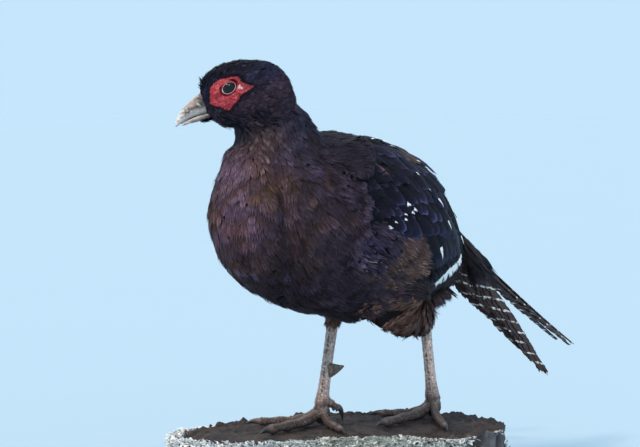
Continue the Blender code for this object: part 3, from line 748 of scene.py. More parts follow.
def feather_finish(name, barb_angle, rim, roughness, gloss):
    """Feather keratin, grown as barbed vanes: dark, a little gloss, fine streaks along the barbs, and paler rims that
    are partly the feathers' own edging and partly painted sheen.
    """
    made, tree, shader = finish_of(name, Roughness=roughness, IOR=1.54, Specular_IOR_Level=gloss)
    tint = add(tree, "Attribute", attribute_name="Tint")
    marks = add(tree, "Attribute", attribute_name="Marks")
    mark = add(tree, "SeparateColor", {"Color": marks})
    flat = add(tree, "UVMap", uv_map="Vane")
    place = add(tree, "SeparateXYZ", {"Vector": flat})
    across = add(tree, "Math", {0: place.outputs["X"]}, operation="ABSOLUTE")
    slope = add(tree, "Math", {0: across, 1: math.cos(barb_angle)}, operation="MULTIPLY")
    barb = add(tree, "Math", {0: place.outputs["Y"], 1: -math.sin(barb_angle), 2: slope}, operation="MULTIPLY_ADD")
    chance = add(tree, "Math", {0: marks.outputs["Alpha"], 1: 40.0}, operation="MULTIPLY")
    slow = add(tree, "Math", {0: place.outputs["Y"], 1: 0.18}, operation="MULTIPLY")
    line = add(tree, "CombineXYZ", {"X": barb, "Y": slow, "Z": chance})
    # barbs stand 0.35 mm apart; they are drawn in clumps of about 0.9 mm, the least that shows
    fine = add(tree, "TexNoise", {"Vector": line, "Scale": 11.0, "Detail": 3.0, "Roughness": 0.65})
    swing = add(tree, "MapRange", {"Value": fine, "From Min": 0.28, "From Max": 0.72, "To Min": 1 - BARB_STREAK,
        "To Max": 1 + BARB_STREAK})
    webs = add(tree, "VectorMath", {0: tint, "Scale": swing}, operation="SCALE")
    # the rim colour is partly the feathers' own edging and partly painted sheen of their iridescent gloss
    rimmed = add(tree, "Mix", {0: mark.outputs["Red"], 6: webs, 7: linear(rim)}, data_type="RGBA")
    # the bare shaft of a worn feather, 0.6 mm wide
    shaft = add(tree, "MapRange", {"Value": across, "From Min": 0.015, "From Max": 0.045, "To Min": 0.8, "To Max": 0.0})
    shaft_share = add(tree, "Math", {0: shaft, 1: tint.outputs["Alpha"]}, operation="MULTIPLY")
    shafted = add(tree, "Mix", {0: shaft_share, 6: rimmed, 7: linear("#a58f80")}, data_type="RGBA")
    # a dark spot 3 mm across, 3 mm short of the tip
    spot_at = add(tree, "VectorMath", {0: flat, 1: (0.02, 0.32, 0.0)}, operation="DISTANCE")
    spot = add(tree, "MapRange", {"Value": spot_at.outputs["Value"], "From Min": 0.12, "From Max": 0.18, "To Min": 1.0,
        "To Max": 0.0})
    spot_share = add(tree, "Math", {0: spot, 1: mark.outputs["Green"]}, operation="MULTIPLY")
    spotted = add(tree, "Mix", {0: spot_share, 6: shafted, 7: linear("#08080c")}, data_type="RGBA")
    # the white tip reaches back by up to 9 mm, its inner edge uneven along the barbs
    reach = add(tree, "Math", {0: mark.outputs["Blue"], 1: 0.9}, operation="MULTIPLY")
    uneven = add(tree, "Math", {0: fine, 1: 0.25, 2: reach}, operation="MULTIPLY_ADD")
    inside = add(tree, "Math", {0: uneven, 1: place.outputs["Y"]}, operation="SUBTRACT")
    white = add(tree, "MapRange", {"Value": inside, "From Min": 0.1, "From Max": 0.16})
    marked = add(tree, "Math", {0: mark.outputs["Blue"], 1: 0.05}, operation="GREATER_THAN")
    white_share = add(tree, "Math", {0: white, 1: marked}, operation="MULTIPLY")
    tipped = add(tree, "Mix", {0: white_share, 6: spotted, 7: linear("#f2f0f2")}, data_type="RGBA")
    surface(tree, shader, tipped, fine, BARB_RELIEF, 0.0005)
    return made


def skin_finish():
    """Cured bird skin with down: matt and dark, with the coat's own markings."""
    made, tree, shader = finish_of("cured_skin_with_down", Roughness=0.85, IOR=1.45, Specular_IOR_Level=0.1)
    tint = add(tree, "Attribute", attribute_name="Tint")
    place = add(tree, "TexCoord")
    fluff = add(tree, "TexNoise", {"Vector": place.outputs["Object"], "Scale": 700.0, "Detail": 3.0})
    swing = add(tree, "MapRange", {"Value": fluff, "To Min": 0.5, "To Max": 1.2})
    shade = add(tree, "VectorMath", {0: tint, "Scale": swing}, operation="SCALE")
    surface(tree, shader, shade, fluff, 0.5, 0.0006)
    return made


def hex_rows(colour, count):
    return np.tile(rgb(colour), (count, 1))


def body_shapes():
    return [plume(7, seed) for seed in range(6)]


def trimmed(lines, normals, edges, rng):
    """Centre lines shortened to end at the edges of the lobes, given as y and height; keep says which remain."""
    count, steps = len(lines), lines.shape[1] - 1
    flat = lines[:, :, 1:] / MM - (0, SLAB_TOP / MM)
    ends = np.full(count, 1.0)
    for edge in edges:
        for a, b in zip(np.array(edge, dtype=float), np.array(edge[1:], dtype=float)):
            way = b - a
            for k in range(steps):
                start, run = flat[:, k], flat[:, k + 1] - flat[:, k]
                under = run[:, 0] * way[1] - run[:, 1] * way[0]
                under = np.where(np.abs(under) < 1e-9, 1e-9, under)
                s = ((a[0] - start[:, 0]) * way[1] - (a[1] - start[:, 1]) * way[0]) / under
                r = ((a[0] - start[:, 0]) * run[:, 1] - (a[1] - start[:, 1]) * run[:, 0]) / under
                meets = (s >= 0) & (s <= 1) & (r >= 0) & (r <= 1) & (np.abs(lines[:, 0, 0]) > 0.02)
                ends = np.where(meets, np.minimum(ends, (k + s) / steps), ends)
    cut = ends < 1
    ends = np.where(cut, np.clip(ends + rng.normal(0, 0.07, count), 0.05, 1), 1)
    at = np.linspace(0, 1, steps + 1)[None] * ends[:, None] * steps
    low = np.clip(at.astype(int), 0, steps - 1)
    part = (at - low)[..., None]
    pick = lambda rows: (np.take_along_axis(rows, low[..., None], 1) * (1 - part) + np.take_along_axis(rows,
        low[..., None] + 1, 1) * part)
    return pick(lines), unit(pick(normals)), ends > 0.42, cut


def body_coat(skin, name, seed, wanted, material, spread=0.36, shapes=None):
    """Feathers of one tract, rooted evenly and combed along the lie."""
    rng = np.random.default_rng(seed + 100)
    spacing = lambda points: spread * np.sqrt(np.prod(sizes_at(points), axis=0))
    roots = scatter(skin, seed, wanted, spacing)
    lengths, halves = sizes_at(roots)
    count = len(roots)
    head = on_head(roots, 0.004)
    place = over_slab(roots)
    throat = close_to(place, (14, -96, 234), 15, (1, 1, 1.2))
    clump = wander(roots, 0.009, 6.0) * (1 - head) + wander(roots, 0.005, 6.0) * head
    swing = rng.normal(0, 0.1, count) + (0.2 + 0.1 * head) * clump + rng.normal(0, 0.22, count) * throat
    lengths = lengths * rng.uniform(0.85, 1.15, count) * (1 + 0.25 * throat)
    halves = halves * rng.uniform(0.85, 1.15, count) * (1 - 0.38 * (1 - head)) * (1 - 0.35 * throat)
    loose = step_up(0.098, 0.13, roots[:, 1]) * step_up(0.11, 0.12, roots[:, 2] - SLAB_TOP)
    tail_way = np.array((0, math.cos(TAIL_FALL), -math.sin(TAIL_FALL)))
    lines, normals = combed(skin, roots, lengths, swing, way=unit(mixed(lie_at(roots), tail_way, loose)),
        loose=loose) if loose.any() else combed(skin, roots, lengths, swing)
    lines, normals, keep, cut = trimmed(lines, normals, (SIDE_EDGE, SHOULDER_EDGE), rng)
    keep &= (loose < 0.1) | ((normals[:, 0] @ tail_way < 0.25) & (unit(lines[:, -1] - lines[:, 0]) @ tail_way > 0.8))
    tips = over_slab(lines[:, -1])
    roof = 153.5 - 0.7 * (tips[:, 1] - 130) - 55 * (1 - np.sqrt(1 - np.minimum(np.abs(tips[:, 0]) / 29, 0.98) ** 2))
    keep &= (tips[:, 1] < 140) | (tips[:, 2] < roof + 4.5)
    webs, downs = tints_at(roots + (lines[:, -1] - roots) * 0.7)
    ruffle = wander(roots, 0.01, 1.0)
    shade = np.exp(rng.normal(0, 0.17, count) + 0.52 * ruffle + 0.24 * clump)
    brown = np.clip(1.0 * wander(roots, 0.018, 2.0) + 0.6 * wander(roots, 0.006, 8.0) - 0.15, 0, 1) * (1 - head)
    front = step_up(-40, -70, place[:, 1]) * step_up(222, 212, place[:, 2]) * step_up(118, 130, place[:, 2])
    webs = mixed(webs, mixed(downs, rgb("#46301f"), front * 0.55), brown * 0.9)
    # painted highlight: the webs brightened in a pool on the front of the breast, where the key light falls
    webs = webs * (1 + 0.35 * close_to(place, (-6, -120, 190), 20, (1, 1, 1.4)))[:, None]
    # painted shade: the webs darkened towards the down's colour in the grooves between the lobes; the shade factor at
    # the end is each feather's random tone
    webs = mixed(webs, downs * 0.85, np.clip(in_groove(roots) / 4, 0, 1) * 0.9) * shade[:, None]
    pale = (rng.random(count) < 0.08) * throat
    webs = mixed(webs, rgb("#a2948a"), pale * 0.38)
    low = np.exp(-((place[:, 1] + 104) / 24) ** 2 - ((place[:, 2] - 138) / 17) ** 2)
    fleck = (rng.random(count) < 0.15) * low
    webs = mixed(webs, rgb("#6a6282"), fleck * 0.5)
    # painted glints: about one head feather in eight made paler and bluer, in place of the gloss's highlights
    webs = mixed(webs, rgb("#454353"), (rng.random(count) < 0.12) * head * 0.5)
    ridge = close_to(place, (26, 14, 234), 13, (1, 1.8, 1))
    webs = mixed(webs, rgb("#9a8e8a"), ridge * (rng.random(count) < 0.3) * 0.6)
    tip = 1.0 * MM * head * (1 + 1.1 * clump) + (1 - head) * (1.6 + 1.2 * ruffle + 0.7 * clump + 0.6 * throat) * MM
    lifts = np.stack((0.1 * MM + 0.15 * MM * (1 - head), tip * rng.uniform(0.75, 1.25, count)), 1)
    lifts[:, 1] += cut * 1.5 * MM
    webs = mixed(webs, rgb("#55475c"), cut * np.where(place[:, 2] < 204, 0.28, 0.05))
    upper = step_up(-20, -60, place[:, 1]) * (1 - head) * step_up(128, 145, place[:, 2]) * (throat < 0.2)
    spots = np.maximum((rng.random(count) < 0.03) * upper, (rng.random(count) < 0.12) * cut)
    # the head's larger rim share paints bluish highlights on the barb tips
    marks = np.stack((spots, np.zeros(count), 0.1 + 0.12 * cut + 0.1 * throat + 0.22 * head), 1)
    bake = np.where((head > 0.5)[:, None], head_unwrap(roots), body_unwrap(roots))
    sets = [rows[keep] for rows in (lines, normals, halves, lifts, webs, downs, marks, bake)]
    return lay_coat(name, shapes or body_shapes(), *sets, seed, material)


THIGH_LINES = {
    LEFT: ((26, 30, 132, 15), (31, 35, 113, 21), (32, 40, 99, 24), (29, 52, 92, 21), (26, 73, 86, 9)),
    RIGHT: ((-26, -6, 128, 14), (-25, 0, 113, 15), (-22, 6, 101, 12), (-20, 11, 92, 9), (-19, 12, 85, 8)),
}


def on_thigh(points):
    """Which side's thigh places lie on: 1, -1 or 0."""
    place = over_slab(points)
    found = np.zeros(len(points))
    for side, rows in THIGH_LINES.items():
        rows = np.array(rows, dtype=float)
        for a, b in zip(rows, rows[1:]):
            t = np.clip(((place - a[:3]) @ (b - a)[:3]) / ((b - a)[:3] @ (b - a)[:3]), 0, 1)
            mid = a + t[:, None] * (b - a)
            away = (place - mid[:, :3]) * (1, 0.62, 1)
            near = (np.linalg.norm(away, axis=1) < mid[:, 3] * 1.05) & (place[:, 2] < 110)
            near &= (place[:, 2] < 97) | (np.abs(place[:, 0]) > (26 if side == LEFT else 21))
            found[near] = side
    return found


LEG_STRANDS, VENT_STRANDS = 330, 520


def strands(start, out, run, rise):
    """Straight strands: their roots, clump, rise, centre lines and normals."""
    line = start[:, None] + run[:, None] * np.linspace(0, 1, 6)[None, :, None]
    return start, np.zeros(len(start)), np.full(len(start), rise), line, np.repeat(out[:, None], 6, 1)


def thigh_coat(skin, material):
    """Loose, hair-like feathers of both thighs, swept ahead from the hip, with a sleeve round each leg."""
    rng = np.random.default_rng(31)
    roots = scatter(skin, 31, lambda p: on_thigh(p) != 0, lambda p: np.full(len(p), THIGH_GAP))
    count = len(roots)
    left = on_thigh(roots) == LEFT
    height = roots[:, 2] - SLAB_TOP
    ahead = step_up(0.066, 0.044, roots[:, 1]) * left
    way = unit(mixed(np.array((0.0, 0.12, -1.0)), np.array((0.05, -0.85, -0.5)), ahead))
    low = step_up(0.092, 0.078, height)
    way = unit(mixed(way, np.array((0.0, -1.0, -0.4)), ahead * low))
    rear = step_up(0.05, 0.066, roots[:, 1]) * left
    lengths = rng.uniform(9, 17, count) * MM * np.where(left, 1 + 0.25 * ahead * low, 0.55)
    clump = wander(roots, 0.006, 7.0)
    swing = rng.normal(0, 0.12, count) + 0.28 * clump
    loose = np.where(left, 0.35 + 0.45 * rng.random(count), 0.35)
    lines, normals = combed(skin, roots, lengths, swing, way=way, loose=loose)
    rises = rng.uniform(0.5, 2.2, count) * MM * np.where(left, 1 + 2.0 * rear, 0.4)
    tips = over_slab(lines[:, -1])
    point = (tips[:, 0] + tips[:, 1] > 43 + 2.4 * np.abs(tips[:, 2] - 83)) | (tips[:, 2] > 97) | (rear > 0) | ~left
    roots, clump, rises, lines, normals = (rows[point] for rows in (roots, clump, rises, lines, normals))
    sets = [(roots, clump, rises, lines, normals)]
    for side in (LEFT, RIGHT):
        hock, joint = (np.array(end) + (0, 0, SLAB_TOP) for end in SHANK_ENDS[side])
        turn, share = rng.uniform(0, math.tau, LEG_STRANDS), rng.uniform(-0.1, 0.07, LEG_STRANDS)
        out = np.stack((np.cos(turn), np.sin(turn), 0 * turn), 1)
        start = hock + (joint - hock) * share[:, None] + out * 0.0044
        fall = unit(unit(joint - hock) + out * 0.25 + rng.normal(0, 0.1, (LEG_STRANDS, 3)))
        sets.append(strands(start, out, fall * (rng.uniform(5, 9, LEG_STRANDS) * MM)[:, None], 0.0006))
    vent = np.stack((rng.uniform(-34, 34, VENT_STRANDS), rng.uniform(74, 116, VENT_STRANDS), np.full(VENT_STRANDS,
        96.0)), 1) * MM + (0, 0, SLAB_TOP)
    start, out = skin.nearest(vent)
    fall = unit(np.array((0, 0.62, -0.62)) + out * 0.25 + rng.normal(0, 0.14, (VENT_STRANDS, 3)))
    sets.append(strands(start, out, fall * rng.uniform(9, 17, VENT_STRANDS)[:, None] * MM, 0.001))
    roots, clump, rises, lines, normals = (np.concatenate(rows) for rows in zip(*sets))
    count = len(roots)
    shade = np.exp(rng.normal(0, 0.26, count) + 0.22 * clump)[:, None]
    ahead = step_up(0.066, 0.044, roots[:, 1]) * (roots[:, 0] > 0)
    webs = mixed(rgb("#6e5046"), rgb("#4a3a3b"), step_up(0.04, 0.075, roots[:, 1])) * shade
    webs = mixed(webs, rgb("#6a5448"), (rng.random(count) < 0.22) * ahead * 0.6)
    halves = rng.uniform(0.9, 1.5, count) * MM
    lifts = np.stack((np.full(count, 0.2 * MM), rises), 1)
    shapes = [plume(4, seed, web=0.3, fray=0.6) for seed in range(40, 45)]
    bake = unwrap(roots, np.array((0, 0.03, SLAB_TOP + 0.1)), np.array((0.04, 0.06, 0.03)))
    return lay_coat("coat_thighs", shapes, lines, normals, halves, lifts, webs, hex_rows("#1f1717", count),
        np.zeros((count, 3)), bake, 32, material)


# Rows of the folded wing, as where the tips show: corners (y, height) of the zone in millimetres, steps along and
# across, fall in degrees, length, half width, web, down, rim strength, spot share, lift at root and tip
WING_ZONES = (
    (((48, 114), (10, 118), (-22, 128), (-4, 138), (4, 152), (4, 168), (18, 162), (40, 152), (54, 130)),
     4.2, 4.6, 24, 22.0, 3.6, "#4e372f", "#2c1e1a", 0.15, 0.0, (0.5, 2.0)),
    # lesser coverts: their own blue-black deepened to near-black, as painted shadow cast by the overhanging side
    # plumage
    (((-40, 146), (-42, 196), (-26, 202), (-10, 212), (4, 216), (6, 198), (-2, 184), (-16, 172), (-30, 160)),
     6.5, 8.5, 40, 20.0, 7.0, "#15131b", "#100e13", 0.25, 0.0, (0.6, 2.2)),
    (((4, 226), (14, 236), (30, 233), (52, 224), (68, 206), (72, 184), (62, 164), (46, 154), (16, 158),
      (-2, 164), (-16, 172), (-2, 184), (6, 198), (4, 216)),
     9.0, 12.5, 44, 28.0, 9.2, "#1a1623", "#0e0c11", 0.62, 0.0, (0.6, 2.6)),
    (((-36, 136), (-34, 164), (-14, 170), (0, 163), (6, 150), (0, 137), (-18, 132)),
     7.5, 8.5, 28, 18.0, 6.8, "#392c37", "#1a1419", 0.19, 0.45, (1.4, 4.6)),
)
# Long quills of one wing: tip (y, height), fall in degrees, length, half width, white of the tip, web, lift
QUILLS = (
    *(((62 + 7.2 * k, 103 + 3.4 * k), 44, 62, 6.2, 0.0, "#141218", (0.3, 1.0)) for k in range(7)),
    *(((58 + 4.9 * k, 110 + 1.2 * k + 0.14 * k * k), 46, 60, 5.2, 0.0, "#121219", (0.4, 1.2)) for k in range(10)),
    *(((58 + 8.5 * k, 136 + 3.5 * k - 0.9 * k * k), 46, 52, 7.6, 0.0, "#14141d", (0.8, 2.6)) for k in range(6)),
    *(((56 + 9.0 * k, 158 + 1.0 * k - 1.6 * k * k), 47, 44, 8.0, 0.0, "#15151f", (1.0, 3.0)) for k in range(5)),
)
# White marks that faded covert tips leave on the wing: tip (y, height), length, half width, white, fall
FLECKS = (
    ((8, 184), 9, 1.9, 0.36, 15), ((15, 179), 8, 1.5, 0.28, 30), ((11, 177), 8, 1.2, 0.25, 30),
    ((2.5, 177), 8, 0.9, 0.25, 20), ((2, 173), 8, 1.3, 0.25, 20), ((-8, 172), 8, 0.9, 0.2, 20),
    ((-13, 169), 9, 1.8, 0.33, 10), ((39, 192), 12, 1.1, 0.7, 56), ((52, 180), 13, 1.2, 0.75, 60),
    ((64, 162), 13, 1.3, 0.8, 66), ((55, 141), 12, 1.6, 0.9, 72), ((98, 145), 12, 1.1, 0.8, 60),
    ((72, 176), 10, 0.9, 0.5, 56), ((84, 165), 10, 0.9, 0.5, 60), ((30, 203), 9, 0.8, 0.4, 50),
    ((46, 212), 9, 0.8, 0.4, 40), ((22, 224), 9, 0.9, 0.4, 35),
    ((8, 236), 10, 1.2, 0.5, 20), ((15, 237), 10, 0.9, 0.5, 25), ((24, 235), 10, 1.1, 0.45, 28),
    *(((60 + 2.6 * k, 118.0 + 17.0 * (k / 16) ** 1.7), 14, 2.6, 0.2 + 0.75 * math.sin(math.pi * (k + 1) / 18), 44)
      for k in range(14)),
    ((95.5, 132.0), 13, 2.6, 0.62, 48), ((96.5, 135.0), 12, 2.3, 0.42, 52),
)


def wing_lines(skin, side, tips, falls, lengths, steps=6):
    """Centre lines on one folded wing that end at the tips and rise back along the fall."""
    lines = []
    for (y, height), fall, length in zip(tips, falls, lengths):
        places = []
        for k in range(steps + 1):
            back = length * (1 - k / steps)
            at_y, at_height = y - back * math.cos(fall), height + back * math.sin(fall)
            places.append(skin.from_side(side, at_y, at_height))
        lines.append(places)
    lines = np.array(lines)
    lines[:, 1:-1] = 0.5 * lines[:, 1:-1] + 0.25 * (lines[:, :-2] + lines[:, 2:])
    flat = lines.reshape(-1, 3)
    _, normals = skin.nearest(flat)
    normals = normals.reshape(lines.shape)
    normals[:, 1:-1] = unit(normals[:, 1:-1] + 0.5 * (normals[:, :-2] + normals[:, 2:]))
    return lines - normals * under_lobes(lines)[..., None], normals


def under_lobes(lines):
    """How deep the wing's feathers tuck in under the side and shoulder plumage."""
    y, height = lines[..., 1] / MM, (lines[..., 2] - SLAB_TOP) / MM
    side = along_edge(SIDE_EDGE, height)
    sill = along_edge(SHOULDER_EDGE, y, by=0)
    tucked = np.maximum(step_up(4, -4, y - side) * (height > 138), step_up(-4, 4, height - sill) * (y < 8))
    return 4.0 * MM * tucked


def zone_tips(corners, step_along, step_across, fall, rng):
    """Tips in staggered rows that fill a zone."""
    corners = np.array(corners, dtype=float)
    angle = math.radians(fall)
    along, across = np.array((math.cos(angle), -math.sin(angle))), np.array((math.sin(angle), math.cos(angle)))
    middle = corners.mean(0)
    tips = []
    for i in range(-20, 21):
        for j in range(-20, 21):
            tip = middle + along * i * step_along + across * (j + 0.5 * (i % 2)) * step_across
            tips.append(tip + rng.normal(0, 0.2, 2) * (step_along, step_across))
    tips = np.array(tips)
    return tips[outline_has(corners, tips[:, 0], tips[:, 1])]


def wing_coat(skin, side, material):
    """One folded wing: coverts in staggered rows, long quills beneath, and the pale worn tips."""
    rng = np.random.default_rng(50 + side)
    loose_shapes = [plume(9, seed, contrast=0.3) for seed in range(52, 57)]
    covert_shapes = [vane(12, 11, 0.34, 0.22, 12, seed, split=1) for seed in range(60, 64)]
    quill_shapes = [vane(10, 18, 0.12, 0.35, 14, seed, split=3) for seed in range(64, 67)]
    sets = []
    for corners, step_along, step_across, fall, length, half, web, down, rim, spot, lift in WING_ZONES:
        tips = zone_tips(corners, step_along, step_across, fall, rng)
        count = len(tips)
        falls = np.radians(fall + rng.normal(0, 11, count))
        lengths = length * rng.uniform(0.9, 1.12, count)
        lines, normals = wing_lines(skin, side, tips, falls, lengths)
        shade = np.exp(rng.normal(0, 0.22 if rim > 0.2 else 0.36, count))[:, None]
        webs = hex_rows(web, count) * shade
        worn = (rng.random(count) < 0.3) * (rim < 0.8) * (tips[:, 1] > 205)
        webs = mixed(webs, rgb("#604438"), worn * 0.55)
        spots = rng.random(count) < spot
        shafts = (rim < 0.2) * (rng.random(count) < 0.16) + worn * 0.3
        marks = np.stack((spots, np.zeros(count), rim * rng.uniform(0, 1.25, count) ** 1.4, shafts), 1)
        lifts = np.tile(np.array(lift) * MM, (count, 1)) * rng.uniform(0.9, 1.15, (count, 1))
        sets.append((loose_shapes if rim < 0.2 else covert_shapes, lines, normals, np.full(count,
            half * MM) * rng.uniform(0.9, 1.1, count), lifts, webs, hex_rows(down, count) * shade, marks))
    for shapes, rows in ((quill_shapes, QUILLS), (covert_shapes, FLECKS)):
        if rows is QUILLS:
            tips, falls, lengths, halves, whites, webs, lifts = zip(*rows)
        else:
            tips, lengths, halves, whites, falls = zip(*rows)
            webs, lifts = ["#16151c"] * len(rows), [(2.6, 4.8) if row[2] < 2.5 else (2.0, 6.2) for row in rows]
        count = len(tips)
        lines, normals = wing_lines(skin, side, np.array(tips) + rng.normal(0, 0.5, (count, 2)), np.radians(falls),
            lengths, steps=9)
        shade = np.exp(rng.normal(0, 0.12, count))[:, None]
        webs = np.array([linear(w)[:3] for w in webs]) * shade
        marks = np.stack((np.zeros(count), np.array(whites), np.full(count, 0.22)), 1)
        sets.append((shapes, lines, normals, np.array(halves) * MM, np.array(lifts) * MM, webs, webs * 0.7, marks))
    middle, spans = np.array((side * 0.02, 0.04, SLAB_TOP + 0.17)), np.array((0.05, 0.09, 0.06))
    made = [lay_coat(f"part_{k}", shapes, lines, normals, halves, lifts, webs, downs, marks, unwrap(lines[:, 0], middle,
        spans), 70 + k, material) for k, (shapes, lines, normals, halves, lifts, webs, downs, marks) in enumerate(sets)]
    return joined(f"coat_wing_{SIDE_NAMES[side]}", made)


def joined(name, parts):
    """One mesh object from several that share their layers."""
    with bpy.context.temp_override(active_object=parts[0], object=parts[0], selected_objects=parts,
            selected_editable_objects=parts):
        bpy.ops.object.join()
    parts[0].name = parts[0].data.name = name
    return parts[0]


# ---------------------------------------------------------------- tail

TAIL_ROOT, TAIL_FALL, TAIL_SAG = (0.0, 0.13, 0.1535), math.radians(36), 0.2
ROOF_WIDTH, ROOF_HEIGHT, ROOT_SPREAD = 0.027, 0.055, 0.7
FEATHER_LAYER = 0.0017
TAIL_FEATHERS = (  # length, place across the roof, half width, extra fall
    (0.225, 0.05, 0.0082, 0.0), (0.206, 0.15, 0.0078, 0.0), (0.18, 0.5, 0.01, 0.0194),
    (0.169, 0.56, 0.0105, 0.0202), (0.15, 0.62, 0.011, 0.0193), (0.12, 0.7, 0.0115, 0.0055),
    (0.092, 0.78, 0.011, 0.0), (0.068, 0.86, 0.01, 0.0),
)


def tail_point(along, across, up, fall, gather):
    """Places on the tail's roof, for arrays: metres along, share across, height over its surface."""
    y = along * math.cos(TAIL_FALL)
    z = -along * math.sin(TAIL_FALL) + TAIL_SAG * along ** 2 - fall * (along / 0.15) ** 2
    spread = ROOT_SPREAD + (1 - ROOT_SPREAD) * np.minimum(along / 0.1, 1.0)
    angle = across * math.radians(84)
    x = ROOF_WIDTH * spread * np.sin(angle) * (1 - gather * np.clip(along / 0.17, 0, 1) ** 1.3)
    drop = ROOF_HEIGHT * spread * (1 - np.cos(angle))
    return np.stack((TAIL_ROOT[0] + x + np.sin(angle) * up, TAIL_ROOT[1] + y,
        TAIL_ROOT[2] + SLAB_TOP + z - drop + np.cos(angle) * up), -1)


def tail_feather(side, number, material):
    """One tail feather: a thin two-sided vane with a raised shaft and worn, notched edges."""
    length, across, widest, fall = TAIL_FEATHERS[number]
    rng = np.random.default_rng(200 + 10 * number + side)
    top = -FEATHER_LAYER * (side == RIGHT if number == 0 else number + 1)
    rows, columns = int(length / 0.0021), 13
    share = np.linspace(0, 1, rows)[:, None]
    half = widest * np.minimum(1, 0.62 + share * 3) * (1 - np.clip(share - 0.25, 0, 1) / 0.75 * 0.72)
    turn = np.linspace(-1, 1, columns)[None, :]
    along = length * share + 0 * turn
    notch = np.ones((rows, columns))
    for edge in (0, -1):
        wear = 1 + rng.normal(0, 0.03, rows)
        for at in rng.integers(rows // 5, rows, 9):
            wear[at:at + rng.integers(1, 4)] *= rng.uniform(0.5, 0.85)
        notch[:, edge] = wear
        notch[:, 1 if edge == 0 else -2] = np.minimum(1, wear + 0.06)
    offset = turn * half * notch
    along = np.clip(along + np.abs(turn) ** 1.5 * half * 0.55 * np.clip(1.0 - 0.85 * share ** 8, 0, 1), 0, length)
    shaft = 0.00045 * np.exp(-(offset / 0.0007) ** 2)
    thin = 0.00035 * (1 - 0.7 * np.abs(turn) ** 4)
    crown = 0.0006 * (1 - turn ** 2)
    place = side * across + offset / ROOF_HEIGHT
    gather = 0.85 * (number > 1)
    upper = tail_point(along, place, top + shaft + crown, fall, gather)
    lower = tail_point(along, place, top + crown - 2 * thin - shaft * 0.5, fall, gather)
    points = np.concatenate((upper.reshape(-1, 3), lower.reshape(-1, 3)))
    faces = grid_faces(rows, columns)
    count = rows * columns
    rim = np.concatenate((np.arange(columns), np.arange(1, rows) * columns + columns - 1,
        (rows - 1) * columns + np.arange(columns - 2, -1, -1), np.arange(rows - 2, 0, -1) * columns))
    ahead = np.roll(rim, -1)
    walls = np.stack((rim, ahead, ahead + count, rim + count), 1)
    faces = np.concatenate((faces, faces[:, ::-1] + count, walls[:, ::-1]))
    turned = side * offset * 100
    if number > 1:
        level = (TAIL_ROOT[2] + SLAB_TOP - upper[..., 2] - 0.2 * (upper[..., 1] - TAIL_ROOT[1])) * 100 / 0.64
        strong = np.ones((rows, columns))
    else:
        level = along * 100 + turned
        strong = step_up(-0.2, 0.12, turned) * step_up(0.4, 0.5, share)
    vane_uv = np.tile(np.stack((turned, level), -1).reshape(-1, 2), (2, 1))
    notes = np.zeros((2 * count, 4))
    notes[:, 0] = np.tile(strong.ravel(), 2)
    notes[:, 3] = rng.random()
    bake = vane_uv * 0.03 + (0.5, 0.1)
    made = solid_of(f"tail_{SIDE_NAMES[side]}_{number + 1}", points, faces, material, {"OFBake": bake, "Vane": vane_uv},
        {"Marks": notes})
    given(made, "tail_feathers", f"tail_feather_{SIDE_NAMES[side]}_{number + 1}")


def tail_finish(settings):
    """Tail feather keratin: brown-black vanes with narrow off-white bars about every 14 mm, edges worn."""
    made, tree, shader = finish_of("barred_tail_vane", Roughness=0.48, IOR=1.54, Specular_IOR_Level=0.12)
    marks = add(tree, "Attribute", attribute_name="Marks")
    flat = add(tree, "UVMap", uv_map="Vane")
    place = add(tree, "SeparateXYZ", {"Vector": flat})
    chance = add(tree, "Math", {0: marks.outputs["Alpha"], 1: 30.0}, operation="MULTIPLY")
    where = add(tree, "CombineXYZ", {"X": place.outputs["X"], "Y": place.outputs["Y"], "Z": chance})
    # the bars' edges wander by about two millimetres
    ragged = add(tree, "TexNoise", {"Vector": where, "Scale": 3.0, "Detail": 4.0})
    pushed = add(tree, "Math", {0: ragged, 1: 0.55, 2: place.outputs["Y"]}, operation="MULTIPLY_ADD")
    # each feather's bars stand up to five millimetres off its neighbour's
    shifted = add(tree, "Math", {0: marks.outputs["Alpha"], 1: 0.55, 2: pushed}, operation="MULTIPLY_ADD")
    phase = add(tree, "Math", {0: shifted, 1: settings.bar_spacing * 100, 2: 0.0}, operation="WRAP")
    middle = add(tree, "Math", {0: phase, 1: settings.bar_spacing * 50}, operation="SUBTRACT")
    apart = add(tree, "Math", {0: middle}, operation="ABSOLUTE")
    bar, edge = (add(tree, "MapRange", {"Value": apart, "From Min": settings.bar_width * 50 + near,
        "From Max": settings.bar_width * 50 + far, "To Min": 1.0, "To Max": 0.0}) for near, far in ((-0.02, 0.03),
        (0.02, 0.14)))
    # some bars are worn through in places
    gaps = add(tree, "TexNoise", {"Vector": where, "Scale": 1.6, "Detail": 2.0})
    kept = add(tree, "MapRange", {"Value": gaps, "From Min": 0.42, "From Max": 0.53})
    parts = add(tree, "SeparateColor", {"Color": marks})
    strong = add(tree, "Math", {0: kept, 1: parts.outputs["Red"]}, operation="MULTIPLY")
    pale = add(tree, "Math", {0: bar, 1: strong}, operation="MULTIPLY")
    dark = add(tree, "Math", {0: edge, 1: strong}, operation="MULTIPLY")
    barb = add(tree, "CombineXYZ", {"X": place.outputs["Y"], "Z": chance})
    fine = add(tree, "TexNoise", {"Vector": barb, "Scale": 12.0, "Detail": 2.0})
    ground = add(tree, "Mix", {0: fine, 6: (*settings.tail_dark, 1), 7: (*settings.tail_brown, 1)}, data_type="RGBA")
    edged = add(tree, "Mix", {0: dark, 6: ground, 7: linear("#17110f")}, data_type="RGBA")
    barred = add(tree, "Mix", {0: pale, 6: edged, 7: linear("#e6dad4")}, data_type="RGBA")
    surface(tree, shader, barred, fine, 0.3, 0.0004)
    return made


# ---------------------------------------------------------------- bare parts of the head

